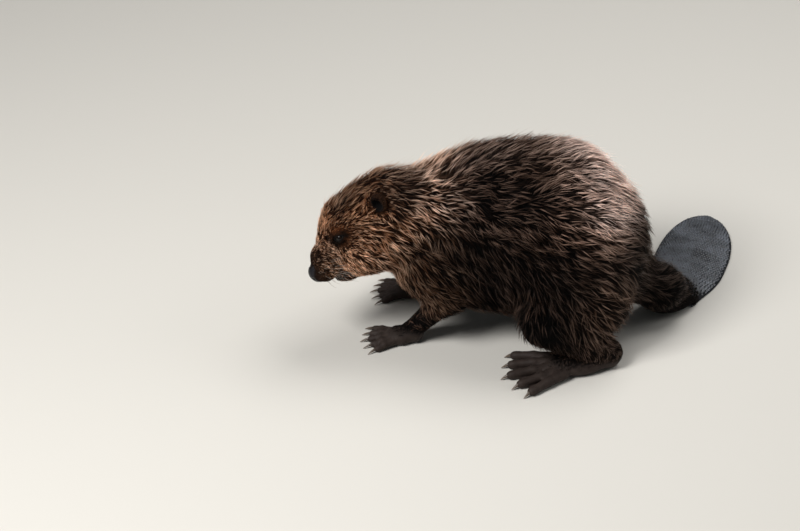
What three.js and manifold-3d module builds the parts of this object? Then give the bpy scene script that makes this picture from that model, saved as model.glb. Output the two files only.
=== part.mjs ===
// A life-size adult beaver, crouched on all fours with its back arched, its head lowered and turned a
// little to its left, and its flat tail laid round to its right.
// Millimetres, +Z up. The nose points towards -X, the rump towards +X, and the animal's left is -Y.
// The surfaces are those of the coat's tips, so the hair over the body is inside these sizes.
//
// The flesh is one rounded field, a function of a point that is negative inside. Each region is turned
// into a closed mesh on its own grid, and thin cuts part it into the named pieces.

import * as THREE from "three";
import { mergeVertices } from "three/addons/utils/BufferGeometryUtils.js";
import Module from "manifold-3d";

const wasm = await Module();
wasm.setup();

const v3 = (x, y, z) => new THREE.Vector3(x, y, z);
const { degToRad, lerp, clamp } = THREE.MathUtils;

// ---------- driving dimensions ----------

const GAP = 0.3; // clearance of each cut between two pieces
const CELL = { head: 17, nose: 7, jaw: 12, trunk: 41, tailRoot: 21 }; // the side of a grid's cell
const SIDES = { left: -1, right: 1 }; // the sign of Y

// The head's own frame starts just inside the nose: x back to the nape, y to its right, z up.
const HEAD = {
  nose: v3(5, -49, 133), // the start of the head's frame, in the body's own
  turn: 18, // degrees, to the animal's left
  pitch: 40, // degrees, nose down
  roll: 14, // degrees, crown to the animal's right
  eye: v3(75, 40, 27),
  eyeRadius: 7,
  nape: 176, // where the head meets the neck
};

// In the head's frame: each ear's middle, the way it points, and the way its cup opens. The right ear is
// laid back.
const EARS = {
  left: { middle: v3(155, -52, 31), up: v3(0.46, -0.38, 0.8), opening: v3(-0.75, -0.62, -0.1) },
  right: { middle: v3(163, 55, 22), up: v3(0.95, 0.16, 0.2), opening: v3(-0.1, 0.98, 0.1) },
};
const EAR_RADII = v3(11, 12, 17.5);

const TAIL = {
  place: v3(572, 72, 0), // where the scales start
  turn: 68, // degrees, to the animal's right
  length: 246,
  aside: 14, // how far the tip bends further round
  rootHalfWidth: 40,
  halfWidth: 60,
  rootThickness: 26,
  rimThickness: 5,
};

// Each leg is given for the right side; `step` moves the left one along X.
const FORE = {
  shoulder: v3(198, 62, 138),
  elbow: v3(222, 74, 88),
  wrist: v3(172, 62, 24),
  centreY: 18, // the chest swings this far to the right of the hips
  step: -14,
  toeOut: 4, // degrees
};

const HIND = {
  hip: v3(400, 96, 106),
  knee: v3(352, 112, 84),
  heel: v3(446, 108, 24),
  centreY: 0,
  step: 10,
  toeOut: 14, // degrees
};

// Hands and feet: the palm or sole, the digits, and how high the back of the paw is.
const HAND = { sole: 34, height: 11, digits: 5, spread: 13, digitLength: 32,
  digitRadius: 6, claw: 18, web: 0 };
const FOOT = { sole: 76, height: 13, digits: 5, spread: 12, digitLength: 78,
  digitRadius: 8.5, claw: 17, web: 5 };
const WRIST_HEIGHT = 26;

// ---------- rounded fields ----------

function ellipsoid(centre, radii) {
  return (p) => {
    const x = p.x - centre.x;
    const y = p.y - centre.y;
    const z = p.z - centre.z;
    const scaled = Math.hypot(x / radii.x, y / radii.y, z / radii.z);
    const slope = Math.hypot(x / radii.x ** 2, y / radii.y ** 2, z / radii.z ** 2);
    return slope < 1e-9 ? -Math.min(radii.x, radii.y, radii.z) : (scaled * (scaled - 1)) / slope;
  };
}

// A tapered limb with round ends, from a ball of radius ra at a to one of radius rb at b.
function taper(a, ra, b, rb) {
  const axis = b.clone().sub(a);
  const length = axis.length();
  axis.divideScalar(length);
  const lean = (ra - rb) / length; // the sine that the wall leans in by
  const rise = lean / Math.sqrt(1 - lean * lean);
  return (p) => {
    const toPoint = p.clone().sub(a);
    const along = toPoint.dot(axis);
    const aside = Math.sqrt(Math.max(0, toPoint.lengthSq() - along * along));
    const share = clamp((along + aside * rise) / length, 0, 1);
    return Math.hypot(along - share * length, aside) - lerp(ra, rb, share);
  };
}

function blend(softness, ...fields) {
  return (p) =>
    fields.reduce((near, field) => {
      const d = field(p);
      const overlap = Math.max(softness - Math.abs(near - d), 0) / softness;
      return Math.min(near, d) - (overlap * overlap * softness) / 4;
    }, 1e6);
}

const mirrored = (field) => (p) => field(v3(p.x, Math.abs(p.y), p.z));

function placed(matrix, field) {
  const inverse = matrix.clone().invert();
  return (p) => field(p.clone().applyMatrix4(inverse));
}

// ---------- the head ----------

function headFrame() {
  const turn = degToRad(HEAD.turn);
  const pitch = degToRad(HEAD.pitch);
  const back = v3(Math.cos(turn) * Math.cos(pitch), Math.sin(turn) * Math.cos(pitch), Math.sin(pitch));
  const right = v3(-Math.sin(turn), Math.cos(turn), 0).applyAxisAngle(back, -degToRad(HEAD.roll));
  const up = back.clone().cross(right);
  return new THREE.Matrix4().makeBasis(back, right, up).setPosition(HEAD.nose);
}

const HEAD_FRAME = headFrame();
const inHead = (x, y, z) => v3(x, y, z).applyMatrix4(HEAD_FRAME);

function headField() {
  const cranium = ellipsoid(v3(112, 0, 12), v3(68, 47, 54));
  const occiput = ellipsoid(v3(159, 0, -2), v3(56, 61, 54));
  const bridge = taper(v3(29, 0, 7), 21, v3(82, 0, 19), 39);
  const jaw = taper(v3(42, 0, -36), 18, v3(107, 0, -38), 42);
  const cheeks = mirrored(ellipsoid(v3(101, 29, -24), v3(54, 35, 44)));
  const skull = blend(26, cranium, occiput, bridge, jaw, cheeks);

  const whiskerPads = mirrored(ellipsoid(v3(20, 13, -11), v3(19, 16, 15)));
  const nose = ellipsoid(v3(-0.5, 0, -6.5), v3(9.7, 13, 14));
  const chin = taper(v3(28, 0, -33), 11, v3(61, 0, -41), 19);
  const brows = mirrored(ellipsoid(v3(78, 30, 36), v3(24, 11, 8)));
  return blend(16, skull, blend(10, whiskerPads, nose, chin, brows));
}

// ---------- the trunk and the legs ----------

function trunkField() {
  const shoulders = mirrored(ellipsoid(v3(190, 58, 158), v3(62, 42, 72)));
  return blend(
    34,
    taper(inHead(159, 0, -10), 56, v3(196, 16, 184), 88),
    ellipsoid(v3(204, FORE.centreY, 178), v3(104, 97, 104)),
    ellipsoid(v3(276, 14, 186), v3(118, 118, 130)),
    ellipsoid(v3(345, 6, 182), v3(112, 132, 140)),
    ellipsoid(v3(400, 0, 170), v3(96, 143, 146)),
    ellipsoid(v3(428, 0, 160), v3(98, 114, 104)),
    ellipsoid(v3(304, 10, 112), v3(128, 94, 76)),
    placed(new THREE.Matrix4().makeTranslation(0, FORE.centreY - 4, 0), shoulders),
  );
}

// The tail's own frame starts where the scales do: x along the tail.
const TAIL_FRAME = new THREE.Matrix4().makeRotationZ(degToRad(TAIL.turn)).setPosition(TAIL.place);

function tailRootField() {
  const bend = v3(544, 24, 50);
  return blend(
    34,
    taper(v3(468, 4, 104), 74, bend, 40),
    taper(bend, 40, v3(-4, 0, 20).applyMatrix4(TAIL_FRAME), 22),
    placed(TAIL_FRAME, ellipsoid(v3(-12, 0, 15), v3(58, 43, 18))),
  );
}

function onSide(leg, point, side) {
  return v3(point.x + (side < 0 ? leg.step : 0), leg.centreY + point.y * side, point.z);
}

const upperLegFields = (side) => [
  ellipsoid(onSide(HIND, HIND.hip, side), v3(84, 50, 84)),
  taper(onSide(FORE, FORE.shoulder, side), 40, onSide(FORE, FORE.elbow, side), 31),
];

const torso = blend(26, placed(HEAD_FRAME, headField()), trunkField(), tailRootField());
const upperLegs = Object.values(SIDES).flatMap(upperLegFields);
const trunk = blend(26, torso, ...upperLegs); // all but the lower legs

// ---------- hands and feet, each in a frame on the floor under its wrist or heel, x forwards ----------

// The line of one digit, from its knuckle to its tip. The middle digits are the longest.
function digitLine(paw, index) {
  const aside = index - (paw.digits - 1) / 2;
  const angle = degToRad(paw.spread * aside);
  const length = paw.digitLength * (1 - 0.09 * Math.abs(aside));
  const knuckle = v3(paw.sole, aside * paw.digitRadius * 1.3, 0);
  const direction = v3(Math.cos(angle), Math.sin(angle), 0);
  return { knuckle, direction, tip: knuckle.clone().addScaledVector(direction, length) };
}

const lifted = (point, z) => v3(point.x, point.y, z);

// The web is a thin plate between the digits, its front edge drawn in a little between their tips.
function web(paw) {
  const outline = new THREE.Shape();
  outline.moveTo(paw.sole * 0.5, 0);
  for (let index = 0; index < paw.digits; index += 0.5) {
    const { knuckle, tip } = digitLine(paw, index);
    const point = knuckle.clone().lerp(tip, index % 1 ? 0.8 : 0.94);
    outline.lineTo(point.x, point.y);
  }
  const plate = new THREE.ExtrudeGeometry(outline, { depth: paw.web, bevelEnabled: false });
  return cast(plate, new THREE.Matrix4().makeTranslation(0, 0, 1));
}

// A claw is a bent cone: a short tube whose radius runs out to almost nothing.
function claw(paw, index) {
  const { tip, direction } = digitLine(paw, index);
  const root = lifted(tip, paw.height * 0.62).addScaledVector(direction, -paw.claw * 0.25);
  const end = lifted(tip, 1.6).addScaledVector(direction, paw.claw * 0.92);
  const knee = lifted(root.clone().lerp(end, 0.55), root.z * 0.98);
  const path = new THREE.QuadraticBezierCurve3(root, knee, end);
  const across = v3(direction.y, -direction.x, 0);
  const geometry = new THREE.CylinderGeometry(0.8, paw.digitRadius * 0.52, 1, 4, 2);
  const position = geometry.attributes.position;
  for (let i = 0; i < position.count; i++) {
    const along = clamp(position.getY(i) + 0.5, 0, 1);
    const point = path.getPoint(along).addScaledVector(across, position.getX(i));
    position.setXYZ(i, point.x, point.y, point.z + position.getZ(i));
  }
  return cast(geometry);
}

function pawSolid(paw) {
  const { sole, height, digitRadius: radius } = paw;
  const heel = limb(v3(0, 0, height + 4), height + 6, v3(sole * 0.7, 0, height), height * 1.05, 8)(0);
  const palm = egg(v3(sole * 0.6, 0, height), v3(sole * 0.66, radius * 3.3, height * 1.3))(0);
  let whole = heel.add(palm);
  if (paw.web) whole = whole.add(web(paw));
  for (let i = 0; i < paw.digits; i++) {
    const { knuckle, tip } = digitLine(paw, i);
    const [start, end] = [lifted(knuckle, height * 0.85), lifted(tip, height * 0.55)];
    const digit = limb(start, radius * 1.15, end, radius * 0.8, 6, 1);
    whole = whole.add(digit(0)).add(claw(paw, i));
  }
  return whole;
}

// Sets a paw down under its wrist or heel, with its digits forwards and turned out a little.
function setDown(solid, at, side, toeOut) {
  const matrix = new THREE.Matrix4().makeRotationZ(Math.PI - degToRad(toeOut) * side);
  return overFloor(solid.transform(matrix.setPosition(at.x, at.y, 0).elements));
}

// ---------- from a field to a closed mesh ----------

const range = (low, high) => new THREE.Box3(v3(...low), v3(...high));
const CORNERS = Array.from({ length: 8 }, (_, c) => [c & 1, (c >> 1) & 1, c >> 2]);
const AROUND_EDGE = [[0, 0], [1, 0], [1, 1], [0, 1]];

// Surface nets: one vertex in each cell that the surface crosses, and one quad round each crossed edge.
function solidify(field, { min, max }, cell) {
  const count = max.clone().sub(min).toArray().map((size) => Math.ceil(size / cell) + 1);
  const at = (i, j, k) => v3(min.x + i * cell, min.y + j * cell, min.z + k * cell);
  const number = (i, j, k) => (k * count[1] + j) * count[0] + i;
  const value = new Float64Array(count[0] * count[1] * count[2]);
  forEachCell(count, (...node) => {
    const onBorder = node.some((n, axis) => n === 0 || n === count[axis] - 1);
    const distance = field(at(...node));
    value[number(...node)] = onBorder ? Math.max(distance, cell / 2) : distance;
  });

  const positions = [];
  const vertexOf = new Map();
  const vertexIn = (node) => {
    const key = number(...node);
    if (!vertexOf.has(key)) {
      vertexOf.set(key, positions.length / 3);
      positions.push(...settle(field, meanCrossing(node, value, number, at), cell).toArray());
    }
    return vertexOf.get(key);
  };

  const triangles = [];
  forEachCell(count.map((n) => n - 1), (...node) => {
    for (const axis of [0, 1, 2]) {
      const inside = value[number(...node)] < 0;
      if (inside === value[number(...node.with(axis, node[axis] + 1))] < 0) continue;
      const ring = AROUND_EDGE.map(([du, dw]) => {
        const neighbour = [...node];
        neighbour[(axis + 1) % 3] -= du;
        neighbour[(axis + 2) % 3] -= dw;
        return vertexIn(neighbour);
      });
      if (!inside) ring.reverse();
      triangles.push(ring[0], ring[1], ring[2], ring[0], ring[2], ring[3]);
    }
  });
  return solidOf(positions, triangles);
}

function forEachCell(count, visit) {
  for (let k = 0; k < count[2]; k++) {
    for (let j = 0; j < count[1]; j++) {
      for (let i = 0; i < count[0]; i++) visit(i, j, k);
    }
  }
}

// The mean of the points where a cell's twelve edges cross the surface.
function meanCrossing([i, j, k], value, number, at) {
  const sum = v3(0, 0, 0);
  let crossings = 0;
  for (const a of CORNERS) {
    for (const axis of [0, 1, 2].filter((n) => !a[n])) {
      const [from, to] = [a, a.with(axis, 1)].map((c) => [i + c[0], j + c[1], k + c[2]]);
      const [da, db] = [value[number(...from)], value[number(...to)]];
      if (da < 0 === db < 0) continue;
      sum.add(at(...from).lerp(at(...to), da / (da - db)));
      crossings++;
    }
  }
  return sum.divideScalar(crossings);
}

// Moves a vertex down the field's slope onto its surface, by no more than a cell.
function settle(field, start, cell) {
  const step = 0.5;
  const point = start.clone();
  for (let turn = 0; turn < 3; turn++) {
    const slope = v3(0, 0, 0);
    for (const axis of [0, 1, 2]) {
      const offset = v3(0, 0, 0).setComponent(axis, step);
      const rise = field(point.clone().add(offset)) - field(point.clone().sub(offset));
      slope.setComponent(axis, rise / (2 * step));
    }
    if (slope.lengthSq() < 0.05) break;
    point.addScaledVector(slope, -field(point) / slope.lengthSq());
  }
  return point.distanceTo(start) > cell ? start : point;
}

function solidOf(positions, triangles) {
  const [vertProperties, triVerts] = [new Float32Array(positions), new Uint32Array(triangles)];
  return new wasm.Manifold(new wasm.Mesh({ numProp: 3, vertProperties, triVerts }));
}

// A three.js geometry as a solid, without the empty triangles at a lathe's poles.
function cast(geometry, matrix = new THREE.Matrix4()) {
  const bare = new THREE.BufferGeometry()
    .setAttribute("position", geometry.attributes.position.clone())
    .setIndex(geometry.index)
    .applyMatrix4(matrix);
  const merged = mergeVertices(bare, 1e-3);
  const corners = Array.from(merged.index.array);
  const triangles = [];
  for (let i = 0; i < corners.length; i += 3) {
    const triangle = corners.slice(i, i + 3);
    if (new Set(triangle).size === 3) triangles.push(...triangle);
  }
  return solidOf(merged.attributes.position.array, triangles);
}

// ---------- cutters: each is a function of how much it is grown, so that a cut leaves a gap ----------

const FAR = 900;

// Everything on the side of a plane that `facing` points away from.
function behindPlane(point, facing) {
  const normal = facing.clone().normalize();
  const turn = new THREE.Quaternion().setFromUnitVectors(v3(0, 0, 1), normal);
  return (grow) => {
    const centre = point.clone().addScaledVector(normal, grow - FAR / 2);
    const matrix = new THREE.Matrix4().compose(centre, turn, v3(1, 1, 1));
    return cast(new THREE.BoxGeometry(FAR * 2, FAR * 2, FAR), matrix);
  };
}

function egg(centre, radii, frame = new THREE.Matrix4()) {
  return (grow) => {
    const scale = v3(radii.x + grow, radii.y + grow, radii.z + grow);
    const matrix = new THREE.Matrix4().compose(centre, new THREE.Quaternion(), scale);
    return cast(new THREE.SphereGeometry(1, 12, 7), matrix.premultiply(frame));
  };
}

function block({ min, max }, frame = new THREE.Matrix4()) {
  return (grow) => {
    const size = max.clone().sub(min).addScalar(2 * grow);
    const middle = min.clone().add(max).multiplyScalar(0.5);
    const matrix = new THREE.Matrix4().makeTranslation(middle).premultiply(frame);
    return cast(new THREE.BoxGeometry(size.x, size.y, size.z), matrix);
  };
}

// The same tapered limb as the field above: a lathe whose profile is two arcs that the cone touches.
function limb(a, ra, b, rb, sides = 12, steps = 2) {
  const axis = b.clone().sub(a);
  const turn = new THREE.Quaternion().setFromUnitVectors(v3(0, 1, 0), axis.clone().normalize());
  const matrix = new THREE.Matrix4().compose(a, turn, v3(1, 1, 1));
  const touch = Math.asin((ra - rb) / axis.length());
  return (grow) => {
    const arc = (radius, height, from, to) => {
      const angles = Array.from({ length: steps + 1 }, (_, i) => lerp(from, to, i / steps));
      const onArc = (angle) => new THREE.Vector2(radius * Math.cos(angle), height + radius * Math.sin(angle));
      return angles.map(onArc);
    };
    const nearA = arc(ra + grow, 0, -Math.PI / 2, touch);
    const nearB = arc(rb + grow, axis.length(), touch, Math.PI / 2);
    return cast(new THREE.LatheGeometry([...nearA, ...nearB], sides), matrix);
  };
}

const bothOf = (one, other) => (grow) => one(grow).intersect(other(grow));
const anyOf = (...cutters) => (grow) => cutters.map((cutter) => cutter(grow)).reduce((a, b) => a.add(b));
const inside = (solid, cutter) => solid.intersect(cutter(-GAP / 2));
const outside = (solid, cutter) => solid.subtract(cutter(GAP / 2));
const overFloor = (solid) => solid.subtract(behindPlane(v3(0, 0, 0), v3(0, 0, 1))(0));

// The biggest body of a solid, without the slivers that a cut can leave.
const biggest = (solid) => solid.decompose().reduce((a, b) => (a.volume() > b.volume() ? a : b));

// ---------- the pieces ----------

const pieces = {};

const nape = behindPlane(inHead(HEAD.nape, 0, 0), inHead(1, 0, 0).sub(HEAD.nose));
const headCutter = bothOf(egg(v3(88, 0, -8), v3(114, 100, 98), HEAD_FRAME), nape);
const eyeball = (side) => {
  const centre = v3(HEAD.eye.x, HEAD.eye.y * side, HEAD.eye.z);
  return egg(centre, v3(1, 1, 1).multiplyScalar(HEAD.eyeRadius), HEAD_FRAME);
};

// An ear is a small cup whose root is set into the head. In its own frame, x points away from its opening
// and z to its tip.
function earFrame(name) {
  const { middle, opening } = EARS[name];
  const up = EARS[name].up.clone().normalize();
  const back = up.clone().multiplyScalar(up.dot(opening)).sub(opening).normalize();
  const frame = new THREE.Matrix4().makeBasis(back, up.clone().cross(back), up).setPosition(middle);
  return frame.premultiply(HEAD_FRAME);
}

const earCup = (name) => egg(v3(0, 0, 0), EAR_RADII, earFrame(name));
const earHollow = (name) => egg(v3(-7, 0, 0), v3(13, 9, 13), earFrame(name));

function makeHead() {
  const around = range([-40, -160, 40], [220, 130, 340]);
  const noseCutter = egg(v3(-8, 0, -6), v3(13, 17, 15), HEAD_FRAME);
  const jawFrame = HEAD_FRAME.clone().multiply(new THREE.Matrix4().makeRotationY(degToRad(7)));
  const jawCutter = block(range([16, -80, -110], [86, 80, -29]), jawFrame);
  const setIn = Object.entries(SIDES).flatMap(([name, side]) => [eyeball(side), earCup(name)]);
  const skull = inside(solidify(torso, around, CELL.head), headCutter);
  pieces.head = biggest(outside(skull, anyOf(noseCutter, jawCutter, ...setIn)));

  const nearNose = around.clone().intersect(range([-40, -160, 40], [80, 60, 220]));
  pieces.nose = biggest(inside(solidify(torso, nearNose, CELL.nose), noseCutter));
  const nearJaw = solidify(torso, range([-40, -160, 40], [180, 80, 240]), CELL.jaw);
  pieces.lower_jaw = biggest(inside(outside(inside(nearJaw, headCutter), noseCutter), jawCutter));

  for (const [name, side] of Object.entries(SIDES)) {
    pieces["eye_" + name] = eyeball(side)(-GAP / 2);
    pieces["ear_" + name] = outside(earCup(name)(-GAP / 2), earHollow(name));
  }
}

const armCutter = (side) => egg(onSide(FORE, v3(208, 80, 112), side), v3(56, 42, 72));
const thighCutter = (side) => egg(onSide(HIND, v3(396, 128, 108), side), v3(86, 50, 86));
const forearm = (side) => limb(onSide(FORE, FORE.elbow, side), 30, onSide(FORE, FORE.wrist, side), 17);
const shank = (side) => limb(onSide(HIND, HIND.knee, side), 46, onSide(HIND, HIND.heel, side), 24);
const tailCut = behindPlane(v3(514, 0, 104), v3(0.78, 0, -0.62));

function makeTrunk() {
  const whole = inside(solidify(trunk, range([20, -200, -30], [600, 200, 370]), CELL.trunk), tailCut);
  const notTrunk = [headCutter, ...Object.keys(SIDES).map(earCup)];
  for (const [name, side] of Object.entries(SIDES)) {
    pieces["arm_" + name] = biggest(inside(outside(whole, headCutter), armCutter(side)));
    pieces["thigh_" + name] = biggest(inside(whole, thighCutter(side)));
    notTrunk.push(armCutter(side), thighCutter(side), forearm(side), shank(side));
  }
  let rest = outside(whole, anyOf(...notTrunk));
  const cuts = {
    neck: behindPlane(v3(170, 12, 184), v3(0.9, 0.12, -0.42)),
    chest: behindPlane(v3(262, 0, 0), v3(1, 0, 0)),
    belly: behindPlane(v3(366, 0, 0), v3(1, 0, 0)),
  };
  for (const [name, cut] of Object.entries(cuts)) {
    pieces[name] = biggest(inside(rest, cut));
    rest = outside(rest, cut);
  }
  pieces.rump = biggest(rest);
}

function makeTail() {
  const along = v3(1, 0, 0).transformDirection(TAIL_FRAME);
  const scalesStart = behindPlane(v3(8, 0, 0).applyMatrix4(TAIL_FRAME), along);
  const root = solidify(torso, range([420, -130, -30], [660, 170, 240]), CELL.tailRoot);
  pieces.tail_root = biggest(overFloor(inside(outside(root, tailCut), scalesStart)));
  pieces.tail_blade = outside(overFloor(tailBlade()), scalesStart);
}

// The blade's section at a share of its length: an ellipse on the floor, thickest along its middle.
function bladeAt(share) {
  const widening = Math.sin((Math.min(1, share / 0.36) * Math.PI) / 2);
  const rounding = Math.sqrt(Math.max(0, 1 - Math.max(0, (share - 0.45) / 0.55) ** 2.2));
  return {
    middle: TAIL.aside * share * share,
    halfWidth: lerp(TAIL.rootHalfWidth, TAIL.halfWidth, widening) * rounding,
    thickness: lerp(TAIL.rootThickness, TAIL.rimThickness * (1 + 0.8 * rounding), share ** 0.7),
  };
}

function tailBlade() {
  const rings = 12;
  const round = 12;
  const rim = TAIL.rimThickness / 2;
  const positions = [];
  const triangles = [];
  for (let i = 0; i <= rings; i++) {
    const share = 0.998 * Math.sin(((i / rings) * Math.PI) / 2); // rings crowd together towards the tip
    const { middle, halfWidth, thickness } = bladeAt(share);
    for (let j = 0; j < round; j++) {
      const [across, rise] = [Math.cos((j / round) * Math.PI * 2), Math.sin((j / round) * Math.PI * 2)];
      const crown = (thickness - TAIL.rimThickness) * (1 - across * across);
      const height = rim + rise * (rise > 0 ? rim + crown : rim * 1.2);
      const place = v3(share * TAIL.length, middle + across * halfWidth, height);
      positions.push(...place.applyMatrix4(TAIL_FRAME));
    }
  }
  const ringAt = (i, j) => i * round + (j % round);
  for (let j = 0; j < round; j++) {
    for (let i = 0; i < rings; i++) {
      const [a, b, c, d] = [ringAt(i, j), ringAt(i, j + 1), ringAt(i + 1, j + 1), ringAt(i + 1, j)];
      triangles.push(a, b, c, a, c, d);
    }
    if (j < 2) continue;
    triangles.push(ringAt(0, 0), ringAt(0, j), ringAt(0, j - 1));
    triangles.push(ringAt(rings, 0), ringAt(rings, j - 1), ringAt(rings, j));
  }
  return solidOf(positions, triangles);
}

function makeLowerLegs() {
  const belowWrist = behindPlane(v3(0, 0, WRIST_HEIGHT), v3(0, 0, 1));
  const hand = pawSolid(HAND);
  const foot = pawSolid(FOOT);
  for (const [name, side] of Object.entries(SIDES)) {
    const wholeForearm = forearm(side)(-GAP / 2);
    pieces["forearm_" + name] = biggest(outside(outside(wholeForearm, armCutter(side)), belowWrist));
    const handDown = setDown(hand, onSide(FORE, FORE.wrist, side), side, FORE.toeOut);
    pieces["hand_" + name] = inside(handDown, belowWrist);

    pieces["shank_" + name] = biggest(outside(outside(shank(side)(-GAP / 2), thighCutter(side)), belowWrist));
    const footDown = setDown(foot, onSide(HIND, HIND.heel, side), side, HIND.toeOut);
    pieces["foot_" + name] = inside(footDown, belowWrist);
  }
}

// ---------- materials and the finished group ----------

const finish = (color, roughness) => new THREE.MeshStandardMaterial({ color, roughness, metalness: 0 });

const FINISHES = {
  coat: finish(0x3b2c25, 0.8),
  face: finish(0x5a3d29, 0.8),
  ear: finish(0x1f1815, 0.8),
  nose: finish(0x1a1818, 0.45),
  eye: finish(0x0b0908, 0.08),
  bareSkin: finish(0x2b2725, 0.6),
  tailScales: finish(0x4a4e55, 0.5),
};

function finishOf(name) {
  const kind = name.replace(/_(left|right)$/, "");
  const finishes = {
    head: FINISHES.face,
    lower_jaw: FINISHES.face,
    ear: FINISHES.ear,
    nose: FINISHES.nose,
    eye: FINISHES.eye,
    hand: FINISHES.bareSkin,
    foot: FINISHES.bareSkin,
    tail_blade: FINISHES.tailScales,
  };
  return finishes[kind] ?? FINISHES.coat;
}

function meshOf(name, solid) {
  const { vertProperties, triVerts } = solid.getMesh();
  const geometry = new THREE.BufferGeometry()
    .setAttribute("position", new THREE.BufferAttribute(vertProperties, 3))
    .setIndex(new THREE.BufferAttribute(triVerts, 1));
  geometry.computeVertexNormals();
  const mesh = new THREE.Mesh(geometry, finishOf(name));
  mesh.name = name;
  return mesh;
}

makeHead();
makeTrunk();
makeTail();
makeLowerLegs();

const beaver = new THREE.Group();
for (const [name, solid] of Object.entries(pieces)) beaver.add(meshOf(name, solid));

// The part's origin is on the floor, under the middle of its box.
const middle = new THREE.Box3().setFromObject(beaver).getCenter(v3(0, 0, 0));
beaver.position.set(-middle.x, -middle.y, 0);

export default beaver;
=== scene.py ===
"""A beaver crouched on all fours, life size, with its coat, bare paws and flat scaly tail.

Metres, +Z up. The nose points towards -X, the rump towards +X, and the animal's left is -Y. The flesh
is one rounded field, a function of points that is negative inside, the same as the solids have. The skin is
where the field is deeper than the coat, and the coat's locks are combed over it at set heights.
"""

import math

import bmesh
import bpy
import numpy as np
from mathutils import Matrix, Vector, kdtree


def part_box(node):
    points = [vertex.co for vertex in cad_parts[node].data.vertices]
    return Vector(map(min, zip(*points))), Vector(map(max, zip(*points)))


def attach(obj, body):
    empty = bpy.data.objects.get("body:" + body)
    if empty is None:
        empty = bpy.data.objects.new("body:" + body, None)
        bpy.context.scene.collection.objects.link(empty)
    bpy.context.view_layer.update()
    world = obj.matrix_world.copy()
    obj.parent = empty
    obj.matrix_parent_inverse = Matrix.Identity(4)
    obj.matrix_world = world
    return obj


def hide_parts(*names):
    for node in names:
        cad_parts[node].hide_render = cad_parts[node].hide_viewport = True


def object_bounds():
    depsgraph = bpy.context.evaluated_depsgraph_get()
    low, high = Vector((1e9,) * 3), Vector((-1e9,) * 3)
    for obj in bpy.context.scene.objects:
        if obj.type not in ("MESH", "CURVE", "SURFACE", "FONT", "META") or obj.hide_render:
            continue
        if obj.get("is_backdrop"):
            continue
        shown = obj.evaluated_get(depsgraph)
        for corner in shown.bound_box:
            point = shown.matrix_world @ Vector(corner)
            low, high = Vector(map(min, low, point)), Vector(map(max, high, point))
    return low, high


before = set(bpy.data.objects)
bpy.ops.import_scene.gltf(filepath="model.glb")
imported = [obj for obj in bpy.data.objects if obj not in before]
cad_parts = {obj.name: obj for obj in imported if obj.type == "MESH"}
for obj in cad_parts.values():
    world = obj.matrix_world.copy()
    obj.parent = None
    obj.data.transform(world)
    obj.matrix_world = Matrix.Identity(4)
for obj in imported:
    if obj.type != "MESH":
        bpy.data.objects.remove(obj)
CAD_BOX = [list(corner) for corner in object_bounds()]
RANDOM = np.random.default_rng(41)


def mm(*values):
    """Millimetres as metres: one number, or several as an array."""
    return values[0] * 1e-3 if len(values) == 1 else np.array(values) * 1e-3


# ---------- driving dimensions ----------

SIDES = {"left": -1, "right": 1}  # the sign of Y

# The head's own frame starts just inside the nose: x back to the nape, y to its right, z up.
HEAD_TURN, HEAD_PITCH, HEAD_ROLL = map(math.radians, (18, 40, 14))
EYE = mm(75, 40, 27)
EYE_RADIUS = mm(7)
EAR_RADII = mm(11, 12, 17.5)
# In the head's frame: an ear's middle, the way it points, and the way its cup opens. The right ear is
# laid back.
EARS = {
    "left": (mm(155, -52, 31), (0.46, -0.38, 0.80), (-0.75, -0.62, -0.10)),
    "right": (mm(163, 55, 22), (0.95, 0.16, 0.20), (-0.10, 0.98, 0.1)),
}


def head_axes():
    """The head's three axes as the columns of a matrix."""
    flat = math.cos(HEAD_PITCH)
    back = Vector((math.cos(HEAD_TURN) * flat, math.sin(HEAD_TURN) * flat, math.sin(HEAD_PITCH)))
    right = Vector((-math.sin(HEAD_TURN), math.cos(HEAD_TURN), 0))
    right = right * math.cos(HEAD_ROLL) - back.cross(right) * math.sin(HEAD_ROLL)
    return np.array([back, right, back.cross(right)]).T


HEAD_AXES = head_axes()
left_eye = np.array(sum(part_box("eye_left"), Vector()) / 2)
NOSE = left_eye - HEAD_AXES @ (EYE * (1, -1, 1))
ORIGIN = NOSE - mm(5, -49, 133)  # where the body's own measures start


def at(x, y, z):
    """A point given in the body's own millimetres."""
    return ORIGIN + mm(x, y, z)


def to_head(p):
    return (p - NOSE) @ HEAD_AXES


def from_head(*point):
    return NOSE + HEAD_AXES @ mm(*point)


# Each leg is given for the right side, and the left one is a step further on.
SHOULDER, ELBOW, WRIST = (198, 62, 138), (222, 74, 88), (172, 62, 24)
HIP, KNEE, HEEL = (400, 96, 106), (352, 112, 84), (446, 108, 24)
FORE = {"centre": 18, "step": -14, "toe_out": math.radians(4)}
HIND = {"centre": 0, "step": 10, "toe_out": math.radians(14)}
HAND = {"sole": mm(34), "spread": math.radians(13), "digit": mm(32), "radius": mm(6), "claw": mm(18),
        "height": mm(11), "web": 0}
FOOT = {"sole": mm(76), "spread": math.radians(12), "digit": mm(78), "radius": mm(8.5), "claw": mm(17),
        "height": mm(13), "web": mm(1.4)}
DIGITS = range(-2, 3)  # how far each digit is from the middle one
FLOOR_CLEARANCE = mm(0.3)

# The tail's own frame starts on the floor where the scales do: x along the tail.
TAIL_PLACE = at(572, 72, 0)
TAIL_TURN = math.radians(68)
TAIL_AXES = np.array(Matrix.Rotation(TAIL_TURN, 3, "Z"))
TAIL_LENGTH = mm(246)
TAIL_ASIDE = mm(14)  # how far the blade's tip is turned aside
TAIL_RIM = mm(5)
TAIL_HALF_WIDTH = mm(40)  # at the first scales
TAIL_WIDENING = mm(20)  # more than that on each side at the widest
TAIL_ROOT_THICKNESS = mm(26)


def to_tail(p):
    return (p - TAIL_PLACE) @ TAIL_AXES


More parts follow.
